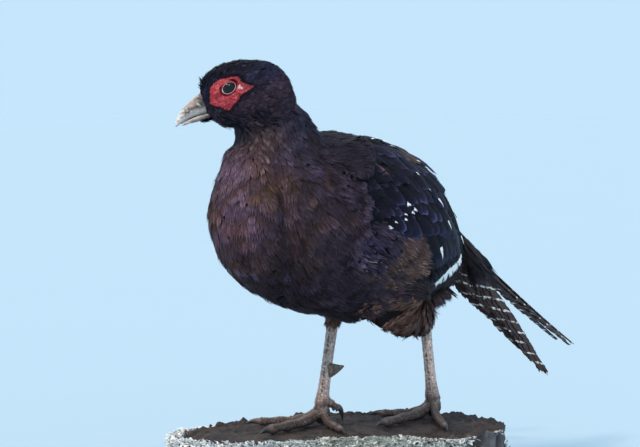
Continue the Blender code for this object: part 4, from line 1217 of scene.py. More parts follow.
HEAD = (  # distance behind, lowest, highest, half width
    (-.031, -.0095, .009, .007), (-.027, -.0145, .0158, .0108), (-.019, -.0212, .022, .015),
    (-.006, -.028, .025, .0185), (.008, -.03, .024, .0195), (.02, -.03, .02, .0185),
    (.03, -.027, .013, .015), (.037, -.02, 0.0, .008),
)
UPPER_BILL = (  # distance ahead, lowest, highest, half width
    (.024, -.0058, .0088, .0064), (.028, -.0064, .0096, .0068), (.032, -.0062, .009, .0062),
    (.04, -.0056, .0062, .0048), (.047, -.006, .0026, .0036), (.052, -.007, -.0014, .0024),
    (.0553, -.008, -.0056, .0009),
)
LOWER_BILL = (
    (.0255, -.011, -.006, .0052), (.034, -.0102, -.0053, .0044), (.043, -.0092, -.0056, .0033),
    (.0505, -.0088, -.0068, .0014),
)


def head_width(behind, up):
    """Half width of the head's form at a place in its own frame."""
    rows = smooth_rows(HEAD, 60)
    low, high, half = (np.interp(behind, rows[:, 0], rows[:, k]) for k in (1, 2, 3))
    share = (up - (low + high) / 2) / ((high - low) / 2)
    return half * np.sqrt(np.clip(1 - share ** 2, 0.04, 1))


def eye_coordinates(ahead, up):
    """Distance from the eye's middle in parts of its opening: 1 at the lid's edge."""
    h, v = ahead + EYE_AT[1], up - EYE_AT[2]
    cos, sin = math.cos(EYE_TILT), math.sin(EYE_TILT)
    return np.hypot((h * cos - v * sin) / EYE_OPENING[0], (h * sin + v * cos) / EYE_OPENING[1])


def make_face(side, settings, material):
    """The bare red skin round one eye: warty, with folds where it meets the lids."""
    step = 0.00027
    across = np.arange(-0.0122, 0.0262, step)
    upward = np.arange(-0.0106, 0.0164, step)
    up, ahead = np.meshgrid(upward, across, indexing="ij")
    ahead, up = ahead.ravel(), up.ravel()
    line = smooth_outline(60)
    inside = outline_has(line, ahead, up)
    ring = eye_coordinates(ahead, up)
    margin = from_line(np.stack((ahead, up), 1), np.concatenate((line, line[:1])))
    width = head_width(-ahead, up)
    from_eye = np.hypot(ahead + EYE_AT[1], up - EYE_AT[2])
    lid = EYE_AT[0] + np.sqrt(np.clip((EYE_RADIUS + 0.0003) ** 2 - from_eye ** 2, 0, 1))
    near = step_up(1.75, 1.02, ring)
    place = np.stack((ahead, up, np.zeros(len(up))), 1)
    warts = np.zeros(len(up))
    tone = np.zeros(len(up))
    for k in np.nonzero(inside)[0]:
        small = noise.voronoi(Vector(place[k]) / (settings.wart_size * 0.55))[0]
        large = noise.voronoi(Vector(place[k] + (3.0, 1.0, 0.0)) / (settings.wart_size * 1.1))[0]
        warts[k] = 0.55 * (1 - min(small[0] * 1.3, 1.0)) ** 0.8 + 0.65 * (1 - min(large[0] * 1.25, 1.0))
        tone[k] = min((small[1] - small[0]) * 2.2, 1.0)
    out = width * (1 - near) + lid * near
    out += (0.0003 + 0.00085 * warts * (1 - 0.75 * near)) * step_up(0, 0.0012, margin)
    out += 0.00045 * np.exp(-((ring - 1.55) / 0.13) ** 2) - 0.0003 * np.exp(-((ring - 1.3) / 0.08) ** 2)
    out -= 0.0016 * (1 - step_up(0, 0.001, margin))
    points = from_head(np.stack((side * out, -ahead, up), 1))
    rows, columns = len(upward), len(across)
    faces = grid_faces(rows, columns)
    good = inside & (ring > 1.0)
    faces = faces[good[faces].all(1)]
    if side == RIGHT:
        faces = faces[:, ::-1]
    used, faces = np.unique(faces, return_inverse=True)
    faces = faces.reshape(-1, 4)
    red, deep, painted_wart_highlight = np.array(settings.face_red), rgb("#5c1218"), rgb("#e2727b")
    blotch = wander(place, 0.0034, 23.0)
    tint = mixed(deep, red, np.clip(0.25 + 0.75 * tone, 0, 1))
    # painted highlights: the wart crests, in patches, made pale pink
    tint = mixed(tint, painted_wart_highlight, np.clip(warts - 0.48 + 0.4 * blotch, 0, 1))
    tint = mixed(tint, deep, np.clip(-blotch - 0.1, 0, 1) * 0.6)
    tint = mixed(tint, rgb("#1a1118"), np.clip(0.9 - margin / 0.0011 + 1.1 * wander(place, 0.001, 31.0), 0, 1) * 0.85)
    # painted shade: a dark ring in the fold round the lids, and two dark spots before their front corner
    painted_lid_shade = np.exp(-((ring - 1.22) / 0.1) ** 2) * 0.75
    painted_lid_shade = np.maximum(painted_lid_shade, 0.8 * np.exp(-(np.hypot(ahead - 0.015, up - 0.003) / 0.0012) ** 2))
    painted_lid_shade = np.maximum(painted_lid_shade, 0.7 * np.exp(-(np.hypot(ahead - 0.0172, up - 0.0052) / 0.0008) ** 2))
    tint = mixed(tint, rgb("#2a1214"), np.clip(painted_lid_shade, 0, 1))
    rear = step_up(0.002, -0.008, ahead) * 0.45
    tint = mixed(tint, rgb("#5a1c26"), rear)
    for at_ahead, at_up, size in ((0.0003, 0.004, 0.0009), (-0.0012, 0.003, 0.0007), (-0.0004, 0.0052, 0.0006)):
        tint = mixed(tint, rgb("#d9c3c4"), np.clip(np.exp(-(np.hypot(ahead - at_ahead, up - at_up) / size) ** 2) * 1.3,
            0, 0.85))
    made = solid_of(f"face_skin_{SIDE_NAMES[side]}", points[used], faces, material, None, {"Tint": tint[used]})
    given(made, "face_skin", f"face_{SIDE_NAMES[side]}")


def make_lids(side, material):
    """The pale bare rim of both lids, thicker at the front corner."""
    around, thick = 80, 10
    turn = circle(around)
    cos, sin = math.cos(EYE_TILT), math.sin(EYE_TILT)
    a, b = EYE_OPENING[0] * 1.02 * np.cos(turn), EYE_OPENING[1] * 1.02 * np.sin(turn)
    ahead, up = -EYE_AT[1] + a * cos + b * sin, EYE_AT[2] - a * sin + b * cos
    from_eye = np.hypot(ahead + EYE_AT[1], up - EYE_AT[2])
    out = EYE_AT[0] + np.sqrt((EYE_RADIUS + 0.0003) ** 2 - from_eye ** 2)
    middle = np.stack((side * out, -ahead, up), 1)
    along = unit(np.roll(middle, -1, axis=0) - np.roll(middle, 1, axis=0))
    away = unit(middle - EYE_AT * (side, 1, 1))
    flat = np.cross(along, away)
    size = 0.00024 + 0.00034 * np.exp(-((turn - 0.15 + math.pi) % math.tau - math.pi) ** 2 / 0.12)
    size += 0.00005 * np.sin(turn * 17) * np.sin(turn * 5 + 1)
    ring = circle(thick)
    points = (middle[:, None] + (away[:, None] * np.cos(ring)[None, :, None] * 0.8 + flat[:, None] * np.sin(ring)[None,
        :, None]) * size[:, None, None])
    faces = grid_faces(around, thick, closed=True)
    last = np.arange(thick) + (around - 1) * thick
    faces = np.concatenate((faces, np.stack((last, np.roll(last, -1), np.roll(np.arange(thick), -1), np.arange(thick)),
        1)))
    made = solid_of(f"lids_{SIDE_NAMES[side]}", from_head(points.reshape(-1, 3)), faces, material)
    given(made, "face_skin")


def make_eye(side, material):
    """A glass eye: its pole looks straight out of the socket."""
    rings, around = 40, 48
    polar, turn = np.meshgrid(np.linspace(0.001, math.pi - 0.001, rings), circle(around), indexing="ij")
    local = np.stack((np.cos(polar) * side, np.sin(polar) * np.cos(turn), np.sin(polar) * np.sin(turn)), 2)
    local = local * (EYE_RADIUS - SOCKET_GAP)
    points = from_head((local + EYE_AT * (side, 1, 1)).reshape(-1, 3))
    flat = np.stack((polar / math.pi, turn / math.tau), 2).reshape(-1, 2)
    faces = grid_faces(rings, around, closed=True)
    if side == LEFT:
        faces = faces[:, ::-1]
    made = solid_of(f"eye_glass_{SIDE_NAMES[side]}", points, faces, material, {"Vane": flat})
    given(made, "glass_eye", f"eye_{SIDE_NAMES[side]}")


def make_bill(lower, material):
    """One half of the bill: ridged above, with a hooked tip, a nostril flap and a pale cutting edge."""
    table, rings, around = (LOWER_BILL, 26, 22) if lower else (UPPER_BILL, 44, 30)
    rows = smooth_rows(table, rings)
    turn = circle(around)[None, :]
    ahead, low, high, half = (rows[:, k][:, None] + 0 * turn for k in range(4))
    cos, sin = np.cos(turn) + 0 * ahead, np.sin(turn) + 0 * ahead
    flat = np.where(sin < 0, 0.55, 1.15) if not lower else np.where(sin > 0, 0.55, 1.0)
    x = half * np.sign(cos) * np.abs(cos) ** flat
    up = (low + high) / 2 + (high - low) / 2 * sin
    flap = np.exp(-((ahead - 0.0322) / 0.003) ** 2 - ((up - 0.003) / 0.0019) ** 2) * (not lower)
    slit = np.exp(-((ahead - 0.0336) / 0.0026) ** 2 - ((up - 0.0007) / 0.0007) ** 2) * (not lower)
    side = np.sign(cos) * (np.abs(cos) > 0.3)
    x = x + side * (0.0012 * flap - 0.0009 * slit)

    def grained(size, seed, squeeze=1):
        rows = np.stack((ahead, x, up), 2) * squeeze
        return wander(rows.reshape(-1, 3), size, seed).reshape(x.shape)

    grain = grained(0.0016, 3.0)
    x = x + side * grain * 0.00022
    up = up + grain * 0.00012
    points = from_head(np.stack((x, -ahead, up), 2).reshape(-1, 3))
    faces = grid_faces(rings, around, closed=True)
    caps = [np.stack((np.full(around - 2, base), base + np.arange(1, around - 1), base + np.arange(2, around)),
        1) for base in (0, (rings - 1) * around)]
    caps[1] = caps[1][:, ::-1]
    share = (ahead - ahead.min()) / (ahead.max() - ahead.min())
    horn, tan, cream, smudge, dark = (rgb(c) for c in ("#93837c", "#b39a88", "#e6dfda", "#352b2c", "#150f10"))
    tint = horn + 0 * ahead[..., None]
    tint = mixed(tint, tan, step_up(0.45, 0.95, sin) * (1 - 0.5 * share))
    blot = grained(0.0032, 9.0, (0.5, 1, 1))
    scratch = grained(0.0011, 5.0, (0.3, 1, 1.4))
    tint = mixed(tint, smudge, np.clip(0.3 + 1.1 * blot + 0.7 * scratch, 0, 0.9) * step_up(1.0, 0.75,
        np.abs(sin)) * step_up(0.95, 0.6, share))
    tint = mixed(tint, cream, np.clip(step_up(0.5, 1.0, share) * 0.75 + 0.7 * scratch, 0, 1))
    edge = np.exp(-((sin + 0.62) / 0.22) ** 2) if not lower else np.exp(-((sin - 0.55) / 0.25) ** 2)
    tint = mixed(tint, rgb("#c9c0bb"), edge * 0.65)
    # painted shade: the shallow nostril slit darkened to read as a deep opening
    tint = mixed(tint, dark, np.clip(slit * 1.2, 0, 0.9))
    # painted shade: the faces where the two halves of the bill meet are darkened
    under = step_up(-0.8, -0.97, sin) if not lower else step_up(0.8, 0.97, sin)
    tint = mixed(tint, dark, under * 0.8)
    tint = mixed(tint, rgb("#33292a"), np.clip(step_up(0.46, 0.04, share) * (0.85 + 0.7 * scratch)
        * (1 - 0.6 * (sin > 0.8)), 0, 0.92))
    if not lower:
        chips = grained(0.0009, 8.0)
        tint = mixed(tint, rgb("#30272a"), np.clip(flap * 0.9, 0, 0.8))
        tint = mixed(tint, cream, np.clip((chips - 0.55) * 3, 0, 1) * np.clip(flap * 0.8 + 0.2, 0, 1))
    name = "bill_lower" if lower else "bill_upper"
    made = solid_of(name + "_horn", points, [faces, *caps], material, None, {"Tint": tint.reshape(-1, 3)})
    given(made, "bill_horn", name)


def tinted_finish(name, grain, relief, swing, **values):
    """A finish whose colour is the piece's own Tint, with a grain of the given size in metres."""
    made, tree, shader = finish_of(name, **values)
    tint = add(tree, "Attribute", attribute_name="Tint")
    place = add(tree, "TexCoord")
    noise_ = add(tree, "TexNoise", {"Vector": place.outputs["Object"], "Scale": 1 / grain, "Detail": 4.0,
        "Roughness": 0.6})
    change = add(tree, "MapRange", {"Value": noise_, "From Min": 0.25, "From Max": 0.75, "To Min": 1 - swing,
        "To Max": 1 + swing})
    shade = add(tree, "VectorMath", {0: tint, "Scale": change}, operation="SCALE")
    surface(tree, shader, shade, noise_, relief, grain * 0.6)
    return made


def eye_finish():
    """Blown glass, painted behind: black pupil, dark brown iris, one hard reflection."""
    made, tree, shader = finish_of("blown_glass_painted_behind", Roughness=0.13, IOR=1.52, Specular_IOR_Level=0.32)
    flat = add(tree, "UVMap", uv_map="Vane")
    place = add(tree, "SeparateXYZ", {"Vector": flat})
    ramp = add(tree, "ValToRGB", {"Fac": place.outputs["X"]})
    stops = ((0.0, "#030306"), (0.165, "#040408"), (0.19, "#120c10"), (0.26, "#1a1014"), (0.3, "#060508"))
    ramp.color_ramp.elements[0].position, ramp.color_ramp.elements[0].color = 0.0, linear(stops[0][1])
    ramp.color_ramp.elements[1].position, ramp.color_ramp.elements[1].color = stops[-1][0], linear(stops[-1][1])
    for at, colour in stops[1:-1]:
        ramp.color_ramp.elements.new(at).color = linear(colour)
    wire(tree, shader, {"Base Color": ramp})
    return made


def head_bristles(skin, material):
    """The ragged tuft over the bill's root, the spiky chin and the stray hairs of the ear."""
    rng = np.random.default_rng(90)
    roots, ways, lengths, halves, rises = [], [], [], [], []

    def take(count, behind, across, above, way, length, half, rise):
        for _ in range(count):
            local = np.array((rng.uniform(*sorted(across)), rng.uniform(*behind), rng.uniform(*above)))
            roots.append(from_head(local[None])[0])
            heading = np.array(way(local), dtype=float) + rng.normal(0, 0.18, 3)
            ways.append(heading @ np.array(HEAD_FRAME)[:3, :3].T)
            lengths.append(rng.uniform(*length) * MM)
            halves.append(rng.uniform(*half) * MM)
            rises.append(rng.uniform(*rise) * MM)

    take(70, (-0.029, -0.022), (-0.0085, 0.0085), (0.011, 0.0185), lambda p: (p[0] * 40, -0.45, 0.8), (2.5, 5.0),
        (0.35, 0.6), (0.5, 1.8))
    take(260, (-0.025, 0.014), (-0.014, 0.014), (-0.03, -0.012), lambda p: (p[0] * 45, 0.75, -0.55), (3.5, 6.5),
        (0.4, 0.8), (0.8, 2.6))
    for side in (LEFT, RIGHT):
        take(60, (-0.0285, -0.0255), (side * 0.006, side * 0.011), (-0.012, 0.008), lambda p: (side * 0.5, 0.9, -0.3),
            (2.0, 4.0), (0.3, 0.6), (0.2, 0.9))
        take(14, (0.006, 0.02), (side * 0.0155, side * 0.0185), (-0.014, 0.002), lambda p: (side * 0.2, 1, -0.35),
            (4, 7), (0.2, 0.35), (0.8, 1.6))
    fixed = len(roots)
    take(300, (-0.037, -0.023), (-0.004, 0.004), (-0.0106, -0.0084), lambda p: (p[0] * 60, 0.9, -0.42), (3.0, 5.5),
        (0.4, 0.8), (0.2, 0.8))
    line = smooth_outline(150)
    for side in (LEFT, RIGHT):
        for ahead, up in line + (line - line.mean(0)) * 0.05:
            if rng.random() < 0.8:
                roots.append(from_head(np.array([[side * (head_width(-ahead, up) + 0.0009), -ahead, up]]))[0])
                back = 1.0 if ahead > 0.01 or rng.random() < 0.6 else -0.7
                way = np.array((side * 0.12, back, (up - 0.004) * 30)) + rng.normal(0, 0.35, 3)
                ways.append(way @ np.array(HEAD_FRAME)[:3, :3].T)
                lengths.append(rng.uniform(1.2, 2.8) * MM), halves.append(rng.uniform(0.25, 0.5) * MM)
                rises.append(rng.uniform(1.0, 1.8) * MM)
    roots, ways = np.array(roots), np.array(ways)
    lengths, halves, rises = np.array(lengths), np.array(halves), np.array(rises)
    count = len(roots)
    starts, normals = skin.nearest(roots)
    starts[fixed:], normals[fixed:fixed + 300] = roots[fixed:], np.array((0, 0, -1.0))
    steps = np.linspace(0, 1, 5)[None, :, None]
    lie = unit(ways - normals * (ways * normals).sum(1, keepdims=True) * 0.75)
    lines = starts[:, None] + lie[:, None] * steps * lengths[:, None, None]
    normal_rows = np.repeat(normals[:, None], 5, axis=1)
    webs = hex_rows("#1a1924", count) * np.exp(rng.normal(0, 0.25, count))[:, None]
    shapes = [vane(2, 4, 0.1, 0.85, 2, seed, root=0.6) for seed in range(90, 93)]
    return lay_coat("coat_head_bristles", shapes, lines, normal_rows, halves, np.stack((np.full(count, 0.1 * MM),
        rises), 1), webs, webs * 0.8, np.zeros((count, 3)), head_unwrap(starts), 91, material)


# ---------------------------------------------------------------- legs

SHANK_ENDS = {LEFT: ((.0245, .0745, .09), (.027, .083, .015)), RIGHT: ((-.019, .0125, .09), (-.0185, -.0025, .015))}
SHANK = ((.00, .0046, .0056), (.15, .004, .0052), (.5, .0036, .005), (.8, .0042, .0052), (.95, .0058, .0062),
    (1.0, .0052, .0056))
TOES = {
    LEFT: {1: (205, .013, .0038), 2: (-42, .041, .0036), 3: (1, .058, .0045), 4: (52, .051, .0037)},
    RIGHT: {1: (146, .012, .0038), 2: (68, .036, .0036), 3: (0, .056, .0045), 4: (-37, .05, .0038)},
}
FLOOR_GAP = 0.0003


def toe_rows(start, heading, length, thick, raised):
    end_height = 0.0135 if raised else thick + FLOOR_GAP
    rows = []
    for share in (0.0, 0.22, 0.42, 0.62, 0.82, 1.0):
        fall = share if raised else 1 - (1 - min(share / 0.5, 1.0)) ** 2
        height = start[2] + (end_height - start[2]) * fall
        at = (start[0] + heading[0] * length * share, start[1] + heading[1] * length * share, max(height, end_height))
        rows.append((at, thick * (1 - 0.2 * share)))
    return rows


def claw_rows(tip, heading, thick, raised):
    length, fall = (0.0055, 0.0115) if raised else (0.012, 0.0025)
    rows = []
    for share in (0.0, 0.25, 0.5, 0.75, 1.0):
        rise = 0.0012 * math.sin(math.pi * share * 0.7)
        reach = length * (math.sin(share * math.pi / 2) if raised else share)
        size = thick * 0.74 * (1 - share) ** 0.8 + 0.0004
        height = max(tip[2] + rise - fall * share ** 2, size + FLOOR_GAP)
        rows.append(((tip[0] + heading[0] * reach, tip[1] + heading[1] * reach, height), size))
    return rows


def limb_frames(middles):
    """Along, across and upright unit rows for a limb's line."""
    along = unit(np.gradient(middles, axis=0))
    across = np.cross(along, (0, 0, 1))
    across = unit(np.where(np.linalg.norm(across, axis=1, keepdims=True) < 0.2, (1, 0, 0), across))
    return along, across, unit(np.cross(across, along))


def shingle(v, u):
    """Height and crease of one overlapping scute; u runs across it and v down it, both 0 to 1."""
    side = np.abs(2 * u - 1)
    rise = (0.3 + 0.7 * v) * (1 - side ** 5) * (1 - step_up(0.86, 1.0, v))
    return rise, np.maximum(side ** 4, 0.8 * step_up(0.74, 0.97, v))


def pebble(points, size):
    """Height and crease of small round scales."""
    rise, crease = np.zeros(len(points)), np.zeros(len(points))
    for k, point in enumerate(points):
        near = noise.voronoi(Vector(point) / size)[0]
        gap = near[1] - near[0]
        rise[k] = min(gap * 2.2, 1.0)
        crease[k] = 1 - min(gap * 3.5, 1.0)
    return rise, crease


def tube(middles, across, upright, wide, deep, turn):
    """Rings of points round a line."""
    return middles[:, None] + across * (wide * np.cos(turn))[..., None] + upright * (deep * np.sin(turn))[..., None]


def capped(rings, around, start=0):
    """Faces of a closed limb: sides and two fans."""
    faces = grid_faces(rings, around, closed=True, start=start)
    low, high = start, start + (rings - 1) * around
    fan = np.arange(1, around - 1)
    first = np.stack((np.full(around - 2, low), low + fan + 1, low + fan), 1)
    last = np.stack((np.full(around - 2, high), high + fan, high + fan + 1), 1)
    return faces[:, ::-1], first[:, ::-1], last[:, ::-1]


def scaled_shank(side):
    rings, around = 170, 44
    hock, joint = (np.array(end) + (0, 0, SLAB_TOP) for end in SHANK_ENDS[side])
    rows = smooth_rows([(tuple(hock + (joint - hock) * s), w, d) for s, w, d in SHANK], rings)
    middles = rows[:, :3]
    along = unit((joint - hock)[None])[0]
    front = unit(np.cross(along, (1, 0, 0))[None])[0]
    left = unit(np.cross(front, along)[None])[0]
    turn = circle(around)
    run = np.linspace(0, np.linalg.norm(joint - hock), rings)
    s, phi = np.meshgrid(run, np.degrees(turn), indexing="ij")
    rise, crease, dark = np.zeros_like(s), np.zeros_like(s), np.zeros_like(s)
    covered = np.zeros_like(s, dtype=bool)
    for start, end, pitch, shift in ((90, 150, 3.5, 0.0), (30, 90, 3.5, 0.5), (270, 322, 3.1, 0.2), (218, 270, 3.1,
            0.7)):
        zone = (phi >= start) & (phi < end)
        u = (phi - start) / (end - start)
        v = (s / (pitch * MM) + shift) % 1.0
        r, c = shingle(v, u)
        rise[zone], crease[zone] = r[zone], c[zone]
        spot = np.exp(-((u - 0.5) / 0.27) ** 2 - ((v - 0.45) / 0.6) ** 2)
        dark[zone] = spot[zone]
        covered |= zone
    girth = np.radians(phi) * 0.0042
    small = np.stack((s, girth, 0 * s), 2)[~covered]
    r, c = pebble(small, 0.0015)
    rise[~covered], crease[~covered] = 0.6 * r, c
    swell = rise * 0.0004 - 0.00018
    w, d = rows[:, 3][:, None] + swell, rows[:, 4][:, None] + swell
    points = tube(middles, left, front, w, d, turn)
    return points.reshape(-1, 3), capped(rings, around), crease.ravel(), dark.ravel()


def scaled_toe(rows, start):
    rings, around = 90, 30
    rows = smooth_rows(rows, rings)
    middles = rows[:, :3] + (0, 0, SLAB_TOP)
    _, across, upright = limb_frames(middles)
    turn = circle(around)
    run = np.concatenate(([0], np.cumsum(np.linalg.norm(np.diff(middles, axis=0), axis=1))))
    s, phi = np.meshgrid(run, np.degrees(turn), indexing="ij")
    share = s / run[-1]
    knuckle = 1 + 0.1 * np.cos(share * 6 * math.pi)
    rise, crease = np.zeros_like(s), np.zeros_like(s)
    top = (phi > 32) & (phi < 148)
    r, c = shingle((s / 0.0024) % 1.0, (phi - 32) / 116)
    rise[top], crease[top] = r[top], c[top]
    small = np.stack((s, np.radians(phi) * 0.004, 0 * s), 2)[~top]
    r, c = pebble(small, 0.0014)
    rise[~top], crease[~top] = 0.55 * r, c
    size = rows[:, 3][:, None] * knuckle + rise * 0.00065 - 0.0003
    under = np.where(np.sin(turn)[None] < 0, 1 + 0.1 * np.cos(share * 8 * math.pi + 1.0), 1.0)
    points = tube(middles, across[:, None], upright[:, None], size, size * under, turn)
    points[..., 2] = np.maximum(points[..., 2], SLAB_TOP - 0.0005)
    return points.reshape(-1, 3), capped(rings, around, start), crease.ravel(), np.zeros(s.size)


def foot_joint(side, start):
    """The knobbly joint where the toes spring."""
    rings, around = 26, 30
    joint = np.array(SHANK_ENDS[side][1]) + (0, 0, SLAB_TOP - 0.005)
    polar = np.linspace(0.04, math.pi - 0.04, rings)
    turn = circle(around)
    p, t = np.meshgrid(polar, turn, indexing="ij")
    flat = np.stack((p * 0.006, t * 0.006 * np.sin(p), 0 * p), 2).reshape(-1, 3)
    rise, crease = pebble(flat, 0.0016)
    way = np.stack((np.sin(p) * np.cos(t) * 0.0068, np.sin(p) * np.sin(t) * 0.0072, np.cos(p) * 0.0088), 2)
    points = joint + way.reshape(-1, 3) * (1 + 0.06 * rise[:, None])
    return points, capped(rings, around, start), crease, np.zeros(rings * around)


def toe_start(side, number):
    degrees, length, thick = TOES[side][number]
    heading = np.array((math.sin(math.radians(degrees)), -math.cos(math.radians(degrees)), 0))
    ahead = 0.003 if number in (2, 4) else 0
    joint = np.array(SHANK_ENDS[side][1])
    start = joint + heading * ahead + (0, 0, 0.009 if number == 1 else -0.004)
    return start, heading, length - ahead, thick


def make_leg(side, settings, leg_material, claw_material):
    """One scaled shank and foot, its claws and its spur."""
    parts = [scaled_shank(side)]
    claws = []
    for number in (3, 4, 2, 1):
        start, heading, length, thick = toe_start(side, number)
        rows = toe_rows(start, heading, length, thick, number == 1)
        parts.append(scaled_toe(rows, sum(len(p[0]) for p in parts)))
        claws.append((rows[-1][0], heading, rows[-1][1], number == 1))
    parts.append(foot_joint(side, sum(len(p[0]) for p in parts)))
    points = np.concatenate([p[0] for p in parts])
    quads = np.concatenate([p[1][0] for p in parts])
    fans = np.concatenate([f for p in parts for f in p[1][1:]])
    crease, dark = (np.concatenate([p[k] for p in parts]) for k in (2, 3))
    height = points[:, 2] - SLAB_TOP
    speck = wander(points, 0.0016, 4.0)
    blot = wander(points, 0.007, 5.0)
    pale, brown, toe = (np.array(c) for c in (settings.leg_pale, settings.leg_brown, settings.toe_brown))
    foot = step_up(0.034, 0.01, height + 0.004 * blot)
    tint = mixed(pale, toe, foot * 0.9)
    tint = mixed(tint, brown, np.clip(dark * (1.05 + 0.8 * speck), 0, 0.95) * (1 - 0.5 * foot))
    tint = mixed(tint, rgb("#211818"), np.clip(crease * (0.72 + 0.28 * foot), 0, 1))
    tint = mixed(tint, brown, np.clip(speck - 0.25, 0, 1) * 0.6)
    # painted highlight: the scale middles on the toes and foot made paler, away from the creases
    tint = mixed(tint, rgb("#a3958f"), np.clip(0.8 * speck + 0.4 * blot - 0.1, 0, 1) * foot * (1 - crease) * 0.5)
    name = SIDE_NAMES[side]
    leg = solid_of(f"leg_scales_{name}", points, [quads, fans], leg_material, None, {"Tint": tint})
    given(leg, "leg_scales", f"shank_{name}", *(f"toe_{name}_{n}" for n in (1, 2, 3, 4)))
    claw_points, claw_quads, claw_fans, claw_tints, start = [], [], [], [], 0
    rings, around = 18, 14
    for tip, heading, thick, raised in claws:
        rows = smooth_rows(claw_rows(tip, heading, thick, raised), rings)
        middles = rows[:, :3] + (0, 0, SLAB_TOP)
        _, across, upright = limb_frames(middles)
        turn = circle(around)
        size = rows[:, 3][:, None] * (1.35 if raised else 1.1)
        ring = tube(middles, across[:, None], upright[:, None], size * 0.78, size, turn)
        ring[..., 2] = np.maximum(ring[..., 2], SLAB_TOP - 0.0003)
        quads, first, last = capped(rings, around, start)
        share = np.repeat(np.linspace(0, 1, rings), around)
        horn = mixed(rgb("#6b5d5a"), rgb("#2b2325"), step_up(0.0, 0.7, share))
        claw_points.append(ring.reshape(-1, 3)), claw_quads.append(quads), claw_fans.extend((first, last))
        claw_tints.append(horn)
        start += rings * around
    made = solid_of(f"claws_{name}", np.concatenate(claw_points), [np.concatenate(claw_quads),
        np.concatenate(claw_fans)], claw_material, None, {"Tint": np.concatenate(claw_tints)})
    given(made, "claw_horn", *(f"claw_{name}_{n}" for n in (1, 2, 3, 4)))
    make_spur(side, claw_material)


def make_spur(side, material):
    """A short thick horn cone on a ringed base."""
    hock, joint = (np.array(end) + (0, 0, SLAB_TOP) for end in SHANK_ENDS[side])
    out = unit(np.array([(-side, 1.0, 0.12)]))[0]
    root = hock + (joint - hock) * 0.61
    rings, around = 30, 22
    share = np.linspace(0, 1, rings)
    middles = root + out * (0.0015 + 0.013 * share)[:, None] + np.array((0, 0, 0.0022)) * (share ** 2)[:, None]
    size = 0.0064 * (1 - share) ** 0.95 + 0.0005
    size = size * (1 + 0.05 * np.sin(share * 40) * (1 - share))
    _, across, upright = limb_frames(middles)
    turn = circle(around)
    points = tube(middles, across[:, None], upright[:, None], size[:, None] * 0.62, size[:, None] * 1.05, turn)
    points = points.reshape(-1, 3)
    speck = wander(points, 0.002, 6.0)
    tint = mixed(rgb("#8a7463"), rgb("#503f37"), np.clip(0.4 + 0.6 * speck + 0.3 * np.repeat(share, around), 0, 1))
    quads, first, last = capped(rings, around)
    made = solid_of(f"spur_{SIDE_NAMES[side]}_horn", points, [quads, np.concatenate((first, last))], material, None,
        {"Tint": tint})
    given(made, "claw_horn", f"spur_{SIDE_NAMES[side]}")


# ---------------------------------------------------------------- slab

SLAB_LONG, SLAB_SHORT, SLAB_TURN = 0.137, 0.064, math.radians(60)
SLAB_LOBES = ((2, 0.02, 0.6), (3, 0.045, 2.1), (5, 0.022, 0.4), (9, 0.012, 1.3))


def slab_radius(angle):
    t = angle - SLAB_TURN
    round_ = SLAB_LONG * SLAB_SHORT / np.hypot(SLAB_SHORT * np.cos(t), SLAB_LONG * np.sin(t))
    return round_ * (1 + sum(size * np.cos(count * t + phase) for count, size, phase in SLAB_LOBES))


def ridged(points, size, seed):
    """Noise with sharp crests, 0 to 1."""
    return 1 - np.abs(wander(points, size, seed))


